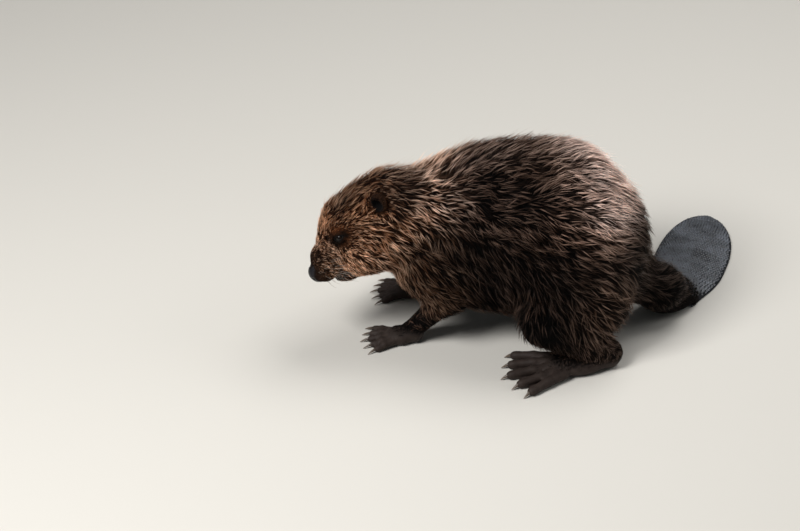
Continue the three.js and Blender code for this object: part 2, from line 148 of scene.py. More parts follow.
def from_tail(q):
    return TAIL_PLACE + q @ TAIL_AXES.T


def along_tail(p):
    """How far points are past the tail's first scales, and far before it anywhere off the tail."""
    q = to_tail(p)
    off = (p[:, 0] < at(500, 0, 0)[0]) | (p[:, 2] > mm(110)) | (np.abs(q[:, 1]) > mm(100))
    return np.where(off, mm(-200), q[:, 0])


def on_side(leg, point, side):
    x, y, z = point
    return at(x + (leg["step"] if side < 0 else 0), leg["centre"] + y * side, z)


# ---------- rounded fields ----------


def length_of(v):
    return np.sqrt(np.einsum("ij,ij->i", v, v))


def unit(v):
    return v / np.maximum(length_of(v), 1e-9)[:, None]


def direction(v):
    """One vector's direction."""
    return np.array(v) / np.linalg.norm(v)


def folded(p, middle=0.0):
    """The points with both sides laid on the right one."""
    return np.stack([p[:, 0], np.abs(p[:, 1] - middle), p[:, 2]], 1)


def ellipsoid(centre, radii):
    def field(p):
        scaled = (p - centre) / radii
        size = length_of(scaled)
        return size * (size - 1) / np.maximum(length_of(scaled / radii), 1e-6)

    return field


def taper(a, radius_a, b, radius_b):
    """A tapered limb with round ends."""
    axis = b - a
    length = np.linalg.norm(axis)
    axis = axis / length
    lean = (radius_a - radius_b) / length
    rise = lean / math.sqrt(1 - lean * lean)

    def field(p):
        offset = p - a
        along = offset @ axis
        aside = np.sqrt(np.maximum(0, np.einsum("ij,ij->i", offset, offset) - along * along))
        share = np.clip((along + aside * rise) / length, 0, 1)
        return np.hypot(along - share * length, aside) - (radius_a + (radius_b - radius_a) * share)

    return field


def soft_min(a, b, softness):
    overlap = np.maximum(softness - np.abs(a - b), 0) / softness
    return np.minimum(a, b) - overlap * overlap * softness / 4


def soft_max(a, b, softness):
    return -soft_min(-a, -b, softness)


def blend(softness, *fields):
    def field(p):
        near = fields[0](p)
        for other in fields[1:]:
            near = soft_min(near, other(p), softness)
        return near

    return field


def mirrored(field, middle=0.0):
    return lambda p: field(folded(p, middle))


FAR = mm(60)  # what a field gives outside its box


def only_near(low, high, field):
    """The field inside a box, and far away outside it."""

    def local(p):
        result = np.full(len(p), FAR)
        inside = np.all((p > low) & (p < high), axis=1)
        if inside.any():
            result[inside] = field(p[inside])
        return result

    return local


BATCH = 3000  # points worked out at a time, few enough to stay in the processor's cache
TETRAHEDRON = np.array([(1, -1, -1), (-1, -1, 1), (-1, 1, -1), (1, 1, 1)], float)


def values_of(field, p):
    return np.concatenate([field(p[i : i + BATCH]) for i in range(0, len(p), BATCH)])


def value_and_slope(field, p, step=mm(0.4)):
    values = np.array([values_of(field, p + step * corner) for corner in TETRAHEDRON])
    return values.mean(0), values.T @ TETRAHEDRON / (4 * step)


# ---------- the flesh, out to the coat's tips ----------


def head_shape():
    skull = blend(
        mm(26),
        ellipsoid(mm(112, 0, 12), mm(68, 47, 54)),  # cranium
        ellipsoid(mm(159, 0, -2), mm(56, 61, 54)),  # occiput
        taper(mm(29, 0, 7), mm(21), mm(82, 0, 19), mm(39)),  # bridge
        taper(mm(42, 0, -36), mm(18), mm(107, 0, -38), mm(42)),  # jaw
        mirrored(ellipsoid(mm(101, 29, -24), mm(54, 35, 44))),  # cheeks
    )
    muzzle = blend(
        mm(10),
        mirrored(ellipsoid(mm(20, 13, -11), mm(19, 16, 15))),  # whisker pads
        ellipsoid(mm(-0.5, 0, -6.5), mm(9.7, 13, 14)),  # nose
        taper(mm(28, 0, -33), mm(11), mm(61, 0, -41), mm(19)),  # chin
        mirrored(ellipsoid(mm(78, 30, 36), mm(24, 11, 8))),  # brows
    )
    shape = blend(mm(16), skull, muzzle)
    in_own_frame = only_near(mm(-50, -120, -130), mm(260, 120, 120), shape)
    return lambda p: in_own_frame(to_head(p))


def trunk_shape():
    middle = ORIGIN[1] + mm(FORE["centre"] - 4)
    return blend(
        mm(34),
        taper(from_head(159, 0, -10), mm(56), at(196, 16, 184), mm(88)),  # neck
        ellipsoid(at(204, FORE["centre"], 178), mm(104, 97, 104)),  # chest
        ellipsoid(at(276, 14, 186), mm(118, 118, 130)),  # ribs
        ellipsoid(at(345, 6, 182), mm(112, 132, 140)),  # loins, where the back is highest
        ellipsoid(at(400, 0, 170), mm(96, 143, 146)),  # hips
        ellipsoid(at(428, 0, 160), mm(98, 114, 104)),  # rump
        ellipsoid(at(304, 10, 112), mm(128, 94, 76)),  # belly
        mirrored(ellipsoid(at(190, 58, 158) * (1, 0, 1) + mm(0, 58, 0), mm(62, 42, 72)), middle),  # shoulders
    )


def tail_root_shape():
    bend = at(544, 24, 50)
    flat = ellipsoid(mm(-12, 0, 15), mm(58, 43, 18))  # where it widens into the blade
    return blend(
        mm(34),
        taper(at(468, 4, 104), mm(74), bend, mm(40)),
        taper(bend, mm(40), from_tail(mm(-4, 0, 20)), mm(22)),
        lambda p: flat(to_tail(p)),
    )


def upper_legs():
    for side in SIDES.values():
        yield ellipsoid(on_side(HIND, HIP, side), mm(84, 50, 84))
        yield taper(on_side(FORE, SHOULDER, side), mm(40), on_side(FORE, ELBOW, side), mm(31))


torso_shape = blend(mm(26), head_shape(), trunk_shape(), tail_root_shape())
body_shape = blend(mm(26), torso_shape, *upper_legs())


def coat_depth(p):
    """How far the skin is under the coat's tips: nothing at the nose, most on the body."""
    q = folded(to_head(p))
    on_head = np.interp(q[:, 0], mm(0, 26, 92, 199), mm(0.4, 3, 8, 15))
    on_tail = np.interp(along_tail(p), mm(-70, 6), mm(15, 1.5))
    by_eye = mm(2.2) + 0.3 * np.maximum(0, length_of(q - EYE) - mm(9))
    return np.minimum(np.minimum(on_head, on_tail), by_eye)


def leg_coat_depth(p):
    return np.interp(p[:, 2], mm(18, 70), mm(1.2, 10))


# ---------- the face ----------

GAZE = direction((-0.30, 0.86, 0.36))  # of the right eye
LID = mm(1.5)  # how thick the lids are
SLIT = mm(6.8, 3.1)  # half the length and half the height of the opening between the lids
NOSTRIL = mm(-8.5, 7.5, -8)
MOUTH = mm(-27)


def eye_axes(side):
    """The gaze, the line from the inner to the outer corner of the eye, and the way up."""
    gaze = GAZE * (1, side, 1)
    up = np.array((0.16, 0, 1.0))
    up = direction(up - gaze * (up @ gaze))
    return gaze, np.cross(up, gaze), up


def eye_opening(q, side):
    """For points in the head's frame: the distance to the opening's edge, and to the eye's centre."""
    gaze, along, up = eye_axes(side)
    offset = q - EYE * (1, side, 1)
    a, b = offset @ along, offset @ up
    arch = SLIT[1] * (1 - (a / SLIT[0]) ** 2)
    edge = np.abs(b - 0.10 * np.abs(a)) - arch
    edge = edge / np.sqrt(1 + (2 * SLIT[1] * a / SLIT[0] ** 2) ** 2)
    return np.maximum(edge, -(offset @ gaze)), length_of(offset)


def with_lids(q, flesh):
    """The skin's field with a lid over each eye, open along the slit."""
    for side in SIDES.values():
        edge, from_centre = eye_opening(q, side)
        flesh = soft_min(flesh, from_centre - (EYE_RADIUS + LID), mm(4))
        pit = np.maximum(edge, EYE_RADIUS - mm(1.5) - from_centre)
        flesh = soft_max(flesh, -pit, mm(0.7))
    return flesh


def dent(q, centre, radii, depth):
    """A soft hollow pressed into the skin."""
    return depth * np.exp(-((((q - centre) / radii) ** 2).sum(1)))


def face_relief(q):
    """How far the skin is pressed in: nostrils, the line of the mouth and the cleft under the nose."""
    relief = dent(folded(q), NOSTRIL, mm(4.5, 2.6, 3.2), mm(6))
    relief += dent(folded(q), NOSTRIL + mm(4.5, 1.5, 2.5), mm(4, 2, 1.6), mm(2.5))
    cleft = np.exp(-((q[:, 1] / mm(1.4)) ** 2)) * np.exp(-(((q[:, 2] - mm(-20)) / mm(9)) ** 2))
    relief += mm(2) * cleft * (q[:, 0] < mm(30))
    line = MOUTH - 0.10 * q[:, 0] + mm(2) * np.abs(q[:, 1]) / mm(16)
    window = np.clip((mm(66) - q[:, 0]) / mm(12), 0, 1)
    relief += mm(3.2) * np.exp(-(((q[:, 2] - line) / mm(1.7)) ** 2)) * window
    return relief


def ear_axes(name):
    """The ear's own axes: x away from its opening, z towards its tip."""
    _, up, opening = map(np.array, EARS[name])
    up = direction(up)
    back = direction(up * (up @ opening) - opening)
    return np.array([back, np.cross(up, back), up]).T


EAR_HOLLOW = ellipsoid(mm(-7, 0, 0), mm(13, 9, 13.5))


def ear_shape(name):
    """A small round cup."""
    axes = ear_axes(name)
    cup = ellipsoid(np.zeros(3), EAR_RADII - mm(1))

    def field(q):
        own = (q - EARS[name][0]) @ axes
        return soft_max(cup(own), -EAR_HOLLOW(own), mm(2))

    return field


def in_ear(q, name):
    """How deep a point of the head is in the ear's hollow, from 0 to 1."""
    own = (q - EARS[name][0]) @ ear_axes(name)
    cup = ellipsoid(np.zeros(3), EAR_RADII + mm(4))(own)
    return np.clip(1.2 - EAR_HOLLOW(own) / mm(1), 0, 1) * (cup < 0)


def from_ears(q):
    """How far points of the head are from the nearer ear's middle."""
    return np.minimum(*(length_of(q - EARS[name][0]) for name in SIDES))


def head_skin(p, flesh):
    """The flesh's field with the face's details, worked out only near the head."""
    q = to_head(p)
    near = np.all((q > mm(-20, -90, -90)) & (q < mm(190, 90, 90)), axis=1)
    detailed = flesh[near] + face_relief(q[near])
    for name in SIDES:
        detailed = soft_min(detailed, ear_shape(name)(q[near]), mm(5))
    flesh = flesh.copy()
    flesh[near] = with_lids(q[near], detailed)
    return flesh


# ---------- paws and tail ----------


def paw_axes(leg, side):
    """A paw's own axes: x towards the toes, z up."""
    angle = math.pi - leg["toe_out"] * side
    forwards = (math.cos(angle), math.sin(angle), 0)
    return np.array([forwards, (-forwards[1], forwards[0], 0), (0, 0, 1)]).T


def paw_place(leg, joint, side):
    place = on_side(leg, joint, side)
    place[2] = 0
    return place, paw_axes(leg, side)


def digit_line(paw, aside):
    """Where a digit starts, its direction, and its length, in the paw's frame."""
    direction = np.array((math.cos(paw["spread"] * aside), math.sin(paw["spread"] * aside), 0))
    knuckle = np.array((paw["sole"], aside * paw["radius"] * 1.3, 0))
    return knuckle, direction, paw["digit"] * (1 - 0.09 * abs(aside))


def web_shape(paw):
    """The skin between the toes, its front edge drawn in between their tips."""
    tip = paw["sole"] + paw["digit"]

    def field(p):
        x, y, z = p.T
        front = tip - mm(9) - mm(20) * (y / mm(48)) ** 2 - mm(7) * np.sin(math.pi * y / mm(24)) ** 2
        side = np.abs(y) - (mm(21) + (x - paw["sole"]) * 0.44)
        outline = soft_max(soft_max(x - front, side, mm(6)), mm(40) - x, mm(6))
        crease = mm(0.5) * np.cos(y / mm(2.2))
        return soft_max(outline, np.abs(z - mm(2.2)) - paw["web"] + crease * 0.4, mm(1.5))

    return field


def paw_shape(paw):
    height, radius, sole = paw["height"], paw["radius"], paw["sole"]
    up = np.array((0, 0, height))
    parts = [  # the wrist or heel, and the sole
        taper(up + mm(0, 0, 4), height + mm(5), up + (sole * 0.7, 0, 0), height),
        ellipsoid(up + (sole * 0.6, 0, 0), np.array((sole * 0.66, radius * 3.2, height * 1.25))),
    ]
    for aside in DIGITS:
        knuckle, direction, length = digit_line(paw, aside)
        start, tip = knuckle + up * 0.85, knuckle + direction * length + up * 0.55
        middle = start + (tip - start) * 0.52 + up * 0.12
        parts += [
            taper(start, radius * 1.05, middle, radius * 0.82),
            taper(middle, radius * 0.86, tip, radius * 0.72),
            ellipsoid(tip - direction * radius * 0.5, np.array((1, 0.74, 0.74)) * radius),
        ]
    solid = blend(mm(4), *parts)
    if paw["web"]:
        solid = blend(mm(4), solid, web_shape(paw))
    return solid


def placed_paw(paw, leg, joint, side):
    place, axes = paw_place(leg, joint, side)
    shape = only_near(mm(-40, -75, -20), mm(200, 75, 50), paw_shape(paw))
    return lambda p: shape((p - place) @ axes)


def blade_at(x):
    """The tail blade's middle line, half width and thickness at places along it."""
    share = np.clip(x / TAIL_LENGTH, 0, 1)
    widening = np.sin(np.minimum(1, share / 0.36) * math.pi / 2)
    rounding = np.sqrt(np.maximum(0, 1 - np.maximum(0, (share - 0.45) / 0.55) ** 2.2))
    middle = TAIL_ASIDE * share**2
    half_width = (TAIL_HALF_WIDTH + TAIL_WIDENING * widening) * rounding
    tip_thickness = TAIL_RIM * (1 + 0.8 * rounding)
    thickness = TAIL_ROOT_THICKNESS + (tip_thickness - TAIL_ROOT_THICKNESS) * share**0.7
    return middle, half_width, thickness


def blade_top(x, y):
    """The height of the blade's upper face."""
    middle, half_width, thickness = blade_at(x)
    across = np.clip((y - middle) / np.maximum(half_width, mm(1)), -1, 1)
    return TAIL_RIM + (thickness - TAIL_RIM) * (1 - across**2) * np.sqrt(1 - across**2) - mm(0.6)


def tail_blade(q):
    """The blade's field in the tail's frame."""
    x, y, z = q.T
    middle, half_width, _ = blade_at(x)
    steep = (blade_at(x + mm(1))[1] - blade_at(x - mm(1))[1]) / mm(2)
    beyond = np.maximum(x - TAIL_LENGTH, 0)
    aside = (np.abs(y - middle) - half_width) / np.sqrt(1 + steep**2)
    outline = np.where(beyond > 0, np.hypot(aside, beyond), aside)
    top = blade_top(x, y)
    rim = TAIL_RIM / 2 - mm(0.5)
    flat = np.abs(z - top / 2) - top / 2
    past = np.hypot(np.maximum(outline + rim, 0), np.maximum(flat + rim, 0))
    solid = past + np.minimum(np.maximum(outline + rim, flat + rim), 0) - rim
    return np.maximum(solid, mm(-6) - x)


# ---------- the skin ----------


def lower_legs():
    for side in SIDES.values():
        forearm = taper(on_side(FORE, ELBOW, side), mm(30), on_side(FORE, WRIST, side), mm(17))
        shank = taper(on_side(HIND, KNEE, side), mm(46), on_side(HIND, HEEL, side), mm(24))
        for limb in (forearm, shank):
            yield lambda p, limb=limb: limb(p) + leg_coat_depth(p)


def body_skin(p):
    return head_skin(p, body_shape(p) + coat_depth(p))


paws = [placed_paw(HAND, FORE, WRIST, side) for side in SIDES.values()]
paws += [placed_paw(FOOT, HIND, HEEL, side) for side in SIDES.values()]
blade = only_near(mm(-28, -110, -20), mm(310, 110, 60), tail_blade)
fleshed = blend(mm(8), blend(mm(14), body_skin, *lower_legs()), *paws)
over_floor = blend(mm(12), fleshed, lambda p: blade(to_tail(p)))


def skin(p):
    return soft_max(over_floor(p), FLOOR_CLEARANCE - p[:, 2], mm(1))


COARSE = 4  # grid steps between the points of the coarse look
NEAR_SURFACE = mm(18)  # how near the surface a point is worked out
LONGEST_MOVE = mm(3)  # of a point in one turn of settling
LEAST_STEEPNESS = 0.2  # of the slope, squared, that a point is moved by


def spaced(*stops):
    """Coordinates along one axis: (place, spacing), (place, spacing), ... up to the last place."""
    places = [stops[0][0]]
    for (_, spacing), (end, _) in zip(stops, stops[1:]):
        while places[-1] + spacing < end:
            places.append(places[-1] + spacing)
    return np.array(places)


def grid_values(field, axes):
    """The field on a grid. Only points that a coarse look finds near the surface are worked out."""
    shape = tuple(map(len, axes))
    nearest = [np.round(np.arange(n) / COARSE).astype(int) for n in shape]
    rough_axes = [axis[np.minimum(np.arange(near.max() + 1) * COARSE, len(axis) - 1)]
                  for axis, near in zip(axes, nearest)]
    rough = values_of(field, np.stack(np.meshgrid(*rough_axes, indexing="ij"), -1).reshape(-1, 3))
    rough = rough.reshape(tuple(map(len, rough_axes)))
    value = rough[np.ix_(*nearest)].copy()
    close = np.argwhere(np.abs(value) < NEAR_SURFACE)
    points = np.stack([axes[n][close[:, n]] for n in range(3)], 1)
    value[tuple(close.T)] = values_of(field, points)
    return value


def surface_net(field, axes):
    """One vertex in each cell that the surface crosses, and one quad round each crossed edge."""
    value = grid_values(field, axes)
    shape = value.shape
    crossings, rings = [], []
    for axis in range(3):
        low = value[tuple(slice(0, -1) if n == axis else slice(1, None) for n in range(3))]
        high = value[tuple(slice(1, None) for n in range(3))]
        edges = np.argwhere((low < 0) != (high < 0)) + [n != axis for n in range(3)]
        ahead = edges + np.eye(3, dtype=int)[axis]
        v0, v1 = value[tuple(edges.T)], value[tuple(ahead.T)]
        point = np.stack([axes[n][edges[:, n]] for n in range(3)], 1)
        reach = axes[axis][ahead[:, axis]] - axes[axis][edges[:, axis]]
        point[:, axis] += reach * v0 / (v0 - v1)
        u, w = np.eye(3, dtype=int)[[(axis + 1) % 3, (axis + 2) % 3]]
        ring = np.stack([np.ravel_multi_index((edges - d).T, shape) for d in (0 * u, u, u + w, w)], 1)
        rings.append(np.where((v0 < 0)[:, None], ring, ring[:, ::-1]))
        crossings.append(np.repeat(point[:, None], 4, 1))
    rings, crossings = np.concatenate(rings), np.concatenate(crossings)
    _, faces = np.unique(rings, return_inverse=True)
    faces = faces.reshape(-1, 4)
    count = np.bincount(faces.ravel())
    columns = [np.bincount(faces.ravel(), crossings[..., n].ravel()) / count for n in range(3)]
    return np.stack(columns, 1), faces


def settle(field, points, turns=3):
    """Moves points down the field's slope onto its surface."""
    points = points.copy()
    for _ in range(turns):
        value, slope = value_and_slope(field, points)
        steep = np.maximum((slope**2).sum(1), LEAST_STEEPNESS)
        move = -slope * (value / steep)[:, None]
        points += move * np.minimum(1, LONGEST_MOVE / np.maximum(length_of(move), 1e-9))[:, None]
    return points


def vertices_of(mesh):
    co = np.empty(len(mesh.vertices) * 3, np.float32)
    mesh.vertices.foreach_get("co", co)
    return co.reshape(-1, 3).astype(float)


def put_points(mesh, points):
    mesh.vertices.foreach_set("co", points.astype(np.float32).ravel())


def near_fine_parts(p):
    """How many more times the skin is divided: twice at the eyes, once at the ears, nose and mouth."""
    q = to_head(p)
    ear = from_ears(q) < mm(26)
    q = folded(q)
    eye = length_of(q - EYE) < mm(14)
    muzzle = (q[:, 0] < mm(30)) & (length_of(q) < mm(62))
    return np.where(eye, 2, np.where(ear | muzzle, 1, 0))


def refine(mesh, field):
    """Divides the faces at the fine parts, and settles the vertices again."""
    for level in (1, 2):
        bm = bmesh.new()
        bm.from_mesh(mesh)
        centres = np.array([f.calc_center_median() for f in bm.faces])
        wanted = near_fine_parts(centres) >= level
        edges = {e for f, chosen in zip(bm.faces, wanted) if chosen for e in f.edges}
        bmesh.ops.subdivide_edges(bm, edges=list(edges), cuts=1, use_grid_fill=True)
        bm.to_mesh(mesh)
        bm.free()
        points = vertices_of(mesh)
        near = near_fine_parts(points) >= 1
        points[near] = settle(field, points[near], 2)
        put_points(mesh, points)
    mesh.update()


def skin_mesh():
    low, high = (np.array(corner) for corner in CAD_BOX)
    axes = (
        spaced((low[0] - mm(14), mm(2.4)), (at(150, 0, 0)[0], mm(4.6)), (at(505, 0, 0)[0], mm(3)),
               (high[0] + mm(6), 0)),
        spaced((low[1] - mm(4), mm(3)), (high[1] + mm(6), 0)),
        spaced((mm(-2), mm(1.3)), (mm(10), mm(2.2)), (mm(34), mm(3.4)), (high[2] + mm(6), 0)),
    )
    points, faces = surface_net(skin, axes)
    points = settle(skin, points)
    mesh = bpy.data.meshes.new("skin")
    mesh.from_pydata(points.tolist(), [], faces.tolist())
    refine(mesh, skin)
    return mesh


# ---------- markings and painted light and shade: the same on the skin and on the coat ---


def ramp(x, *stops):
    """Straight lines through (place, value) stops, with places in millimetres."""
    return np.interp(x, [mm(place) for place, _ in stops], [value for _, value in stops])


def waves(p, size, seed):
    """Soft random variation between about -1 and 1, over patches of that size."""
    draw = np.random.default_rng(seed)
    total = np.zeros(len(p))
    for _ in range(7):
        way = draw.normal(size=3)
        way *= 2 * math.pi / (size * draw.uniform(0.7, 1.6) * np.linalg.norm(way))
        total += np.sin(p @ way + draw.uniform(0, 2 * math.pi))
    return total / 3


def markings(p):
    """How reddish, dark or greyed the coat is at each point, from 0 to 1, and how bright its hair is, with
    painted light and shade in the dark, the grey and the brightness.
    """
    q = to_head(p)
    from_ear = from_ears(q)
    q = folded(q)
    _, along, up = eye_axes(1)
    a, b = (q - EYE) @ along, (q - EYE) @ up
    from_eye = np.sqrt(length_of(q - EYE) ** 2 - a * a + 0.45 * (a - mm(4)) ** 2)
    from_eye *= 1 + 0.25 * waves(p, mm(9), 8)
    brow = np.exp(-(((b - mm(12)) / mm(3.5)) ** 2 + (a / mm(14)) ** 4)) * (q[:, 0] < mm(110))
    head = ramp(q[:, 0], (9, 0), (39, 0.7), (72, 1), (147, 1), (224, 0))
    by_height = ramp(q[:, 2], (-60, 0.35), (0, 0.5), (30, 1))
    red = head * np.maximum(by_height * 0.75, ramp(from_ear, (14, 1), (45, 0)))
    red = np.maximum(red, brow)
    red = np.clip(red + 0.18 * waves(p, mm(45), 3) * head + 0.1 * np.clip(waves(p, mm(90), 4), 0, 1), 0, 1)
    muzzle = ramp(q[:, 0], (-4, 1), (6, 0.7), (22, 0))
    muzzle = np.maximum(muzzle, ramp(q[:, 2], (-28, 0.9), (-12, 0)) * ramp(q[:, 0], (28, 1), (50, 0)))
    # Painted shade under the chin.
    painted_chin_shade = ramp(q[:, 2], (-46, 1), (-28, 0)) * ramp(q[:, 0], (70, 1), (110, 0))
    dark = np.maximum(np.maximum(muzzle, painted_chin_shade), ramp(from_eye, (7, 1), (10, 0.8), (13, 0)))
    x, _, z = (p - ORIGIN).T
    # The sides below the back: partly darker hair, partly painted shade, in the dark marking and in the
    # brightness.
    flank_dark_and_shade = ramp(z, (40, 0.9), (285, 0.8), (312, 0.4)) * ramp(x, (180, 0), (260, 1), (380, 1), (440, 0.5))
    dark = np.clip(np.maximum(dark, flank_dark_and_shade) + 0.12 * waves(p, mm(70), 5), 0, 1)
    # The rump's top: a painted sheen, given by a greyer coat, more pale locks and brighter hair there.
    rump = ramp(x, (340, 0.1), (430, 1), (500, 1), (530, 0.4)) * ramp(z, (200, 0), (245, 1))
    # Painted shade over the lower part of the rear.
    painted_rear_shade = ramp(x, (440, 0), (490, 1)) * ramp(z, (150, 1), (215, 1), (245, 0))
    # Greyed coat in patches, and on the rump's top the painted sheen.
    grey = np.clip(rump + 0.2 + 0.25 * waves(p, mm(110), 6), 0, 1) * (1 - head)
    on_ear = ramp(from_ear, (14, 1), (19, 0))
    # Painted light on the cheeks.
    painted_cheek_light = ramp(q[:, 2], (-50, 0.6), (-20, 1), (14, 0))
    painted_cheek_light *= ramp(q[:, 0], (10, 0.5), (24, 1.3), (60, 1.3), (90, 1), (130, 0.8), (180, 0))
    nape = ramp(q[:, 0], (110, 0), (150, 1), (225, 1), (275, 0))
    nape *= ramp(q[:, 2], (-60, 0), (-30, 1), (-5, 0.8), (15, 0))
    # Painted shade over the lower neck and the shoulders.
    painted_shoulder_shade = ramp(z, (120, 1), (205, 1), (240, 0)) * ramp(x, (110, 0), (150, 1), (230, 1), (290, 0))
    back = ramp(z, (280, 0), (305, 1)) * ramp(x, (220, 0), (280, 1), (400, 1), (440, 0))
    nape_top = ramp(x, (90, 0), (140, 1), (230, 0)) * ramp(z, (225, 0), (255, 1))
    # Painted shade on the top of the head.
    crown_painted_shade = head * ramp(q[:, 2], (25, 0), (50, 1)) * ramp(q[:, 0], (60, 0), (100, 1))
    # How bright the hair is: painted light on the cheeks and the rump's top, and painted shade on the crown,
    # the lower sides, the shoulders and the rear. It also gives a paler brow, a brighter nape, a slightly
    # darker back and a darker top of the neck.
    tone_and_painted_light = 1 + 0.8 * painted_cheek_light - 0.8 * crown_painted_shade + 0.5 * brow + 0.8 * nape
    tone_and_painted_light += 2 * rump - 0.9 * flank_dark_and_shade - 0.1 * back - 0.7 * nape_top
    tone_and_painted_light *= (1 - 0.66 * painted_shoulder_shade) * (1 - 0.7 * painted_rear_shade)
    red, grey, dark = red * (1 - 0.85 * on_ear), grey * (1 - on_ear), dark * (1 - on_ear)
    return {"red": red, "dark": dark * (1 - brow), "grey": grey, "tone_and_painted_light": tone_and_painted_light}


def bare_zones(p):
    """Where no hair grows, from 0 to 1: the nose, ears, lids, paws and tail blade."""
    q = to_head(p)
    nose = ramp(np.abs(q[:, 1]) + 0.4 * np.maximum(q[:, 2], 0), (11, 1), (14, 0)) * (q[:, 0] < mm(22))
    nose *= ramp(q[:, 2], (-20, 0), (-17, 1), (6, 1), (11, 0))
    near = np.all((q > mm(-20, -90, -60)) & (q < mm(190, 90, 90)), axis=1)
    ear, lid = np.zeros(len(p)), np.zeros(len(p))
    for name, side in SIDES.items():
        ear[near] = np.maximum(ear[near], in_ear(q[near], name))
        edge, from_centre = eye_opening(q[near], side)
        around = ramp(edge, (1.2, 1), (1.8, 0)) * (from_centre < EYE_RADIUS + mm(4))
        lid[near] = np.maximum(lid[near], around)
    paw = ramp(p[:, 2], (16, 1), (30, 0)) * (p[:, 0] < at(500, 0, 0)[0])
    tail = ramp(along_tail(p), (0, 0), (10, 1))
    return {"nose": nose, "ear": ear, "lid": lid, "paw": paw, "tail": tail}


# ---------- the coat ----------

# How many locks grow on each part. Each stands for a tuft of real hairs, which are too fine to show.
LOCKS = {"body": 160000, "head": 86000}
LEADERS = {"body": 0.38, "head": 0.27}  # the share of the locks that lead a clump
BEHIND_HEAD = mm(129)  # where the head's finer locks give way to the body's
STATIONS = np.array((0, 0.42, 1))  # along a lock: its root, its bend and its tip
LOCK_STATIONS = [0, 1, 1, 1, 2]  # the station of each of a lock's points
LOCK_ACROSS = np.array((0, -0.5, 0, 0.5, 0))  # where each point lies across the lock's patch of the map
LOCK_FACES = np.array([(0, 2, 1), (0, 3, 2), (0, 1, 3), (4, 1, 2), (4, 2, 3), (4, 3, 1)])
LOCK_DEPTH = 0.62  # a lock's depth as a share of its width
ROOT_DEPTH = mm(1.2)  # how far a lock starts under the skin
MOST_CORRECTION = mm(6)  # of a lock's height over the skin at each station
MOST_TRIANGLES = 190000  # in one piece of the coat
BAKE_PATCH = 0.003  # the side of a lock's patch on the skin's map
CLUMP_REACH = mm(14)  # how far a lock's tip can be from its leader's and still be drawn to it
MANE_SHARE = 0.03  # of the upper locks, which are long guard hairs on their own
STRAY_SHARE = 0.02  # of the locks, pale in a dark clump or dark in a pale one


def flow(p):
    """The way the hair lies, before it is turned into the skin's plane."""
    q = to_head(p)
    below_eye = ramp(q[:, 2], (-20, 1), (32, 0.1)) * ramp(np.abs(q[:, 1]), (8, 0), (28, 1))
    ahead = np.stack([1 - 0.85 * below_eye, 0.25 * np.sign(q[:, 1]), -1.1 * below_eye], 1)
    on_head = ahead @ HEAD_AXES.T
    low = ramp(p[:, 2], (30, 1.1), (110, 0.7), (230, 0.35))
    on_body = np.stack([np.ones(len(p)), 0 * low, -low], 1)
    x, y, z = (p - ORIGIN).T
    on_leg = ramp(z, (110, 1), (160, 0)) * np.maximum(
        ramp(np.abs(y), (80, 0), (110, 1)) * ramp(x, (300, 0), (320, 1), (370, 1), (440, 0)),
        ramp(x, (150, 1), (240, 1), (262, 0)) * ramp(z, (70, 1), (100, 0)))
    on_body += (on_leg * 1.6)[:, None] * (-0.3, 0, -1)
    toes = ramp(z, (14, 1), (40, 0)) * (x < mm(500))
    on_body += toes[:, None] * (-3.4, 0, 0)
    to_blade = ramp(along_tail(p), (-110, 0), (-60, 1))
    on_body += to_blade[:, None] * (TAIL_AXES[:, 0] * 2 - (1, 0, 0))
    share = ramp(q[:, 0], (129, 0), (239, 1))[:, None]
    swirl = np.stack([waves(p, mm(80), 11), waves(p, mm(80), 12), waves(p, mm(80), 13)], 1)
    return on_head * (1 - share) + on_body * share + 0.22 * swirl


def lock_length(p):
    q = to_head(p)
    from_ear = from_ears(q)
    q = folded(q)
    on_head = ramp(q[:, 0], (-2, 3.5), (22, 8), (61, 16), (103, 25), (169, 29), (239, 32))
    by_eye = 3.2 + 0.5 * np.maximum(0, length_of(q - EYE) - mm(9)) / mm(1)
    by_ear = 2.2 + 1.1 * np.maximum(0, from_ear - mm(14)) / mm(1)
    low = ramp(p[:, 2], (16, 5), (40, 14), (90, 32))
    on_tail = ramp(along_tail(p), (-90, 32), (-10, 12), (6, 6))
    return mm(1) * np.minimum.reduce([on_head, by_eye, by_ear, low, on_tail])


def comb(roots, lengths, heights, turns):
    """Runs a line from each root over the skin, rising to its height, and returns its points."""
    rise = 1 - (1 - STATIONS) ** 1.7
    value, slope = value_and_slope(skin, roots)
    normal = unit(slope)
    points = [roots - normal * (value + ROOT_DEPTH)[:, None]]
    normals = [normal]
    here = roots
    for before, after, share in zip(rise, rise[1:], np.diff(STATIONS)):
        way = flow(here)
        way = unit(way - normal * np.einsum("ij,ij->i", way, normal)[:, None])
        way = way * np.cos(turns)[:, None] + np.cross(normal, way) * np.sin(turns)[:, None]
        step = lengths * share
        along = np.sqrt(np.maximum(step**2 - (heights * (after - before)) ** 2, (0.2 * step) ** 2))
        here = here + way * along[:, None] + normal * (heights * (after - before))[:, None]
        value, slope = value_and_slope(skin, here)
        normal = unit(slope)
        short = np.clip(heights * after - value, -MOST_CORRECTION, MOST_CORRECTION)
        here = here + normal * short[:, None]
        points.append(here)
        normals.append(normal)
    return np.array(points), np.array(normals)


def clumps_of(roots, leading):
    """Splits the roots into long narrow clumps round their leaders: the leaders, and each root's clump."""
    leaders = np.flatnonzero(RANDOM.random(len(roots)) < leading)
    way = unit(flow(roots))
    roots = roots - 0.55 * way * np.einsum("ij,ij->i", roots - ORIGIN, way)[:, None]
    tree = kdtree.KDTree(len(leaders))
    for index, leader in enumerate(leaders):
        tree.insert(roots[leader], index)
    tree.balance()
    return leaders, np.array([tree.find(root)[1] for root in roots])


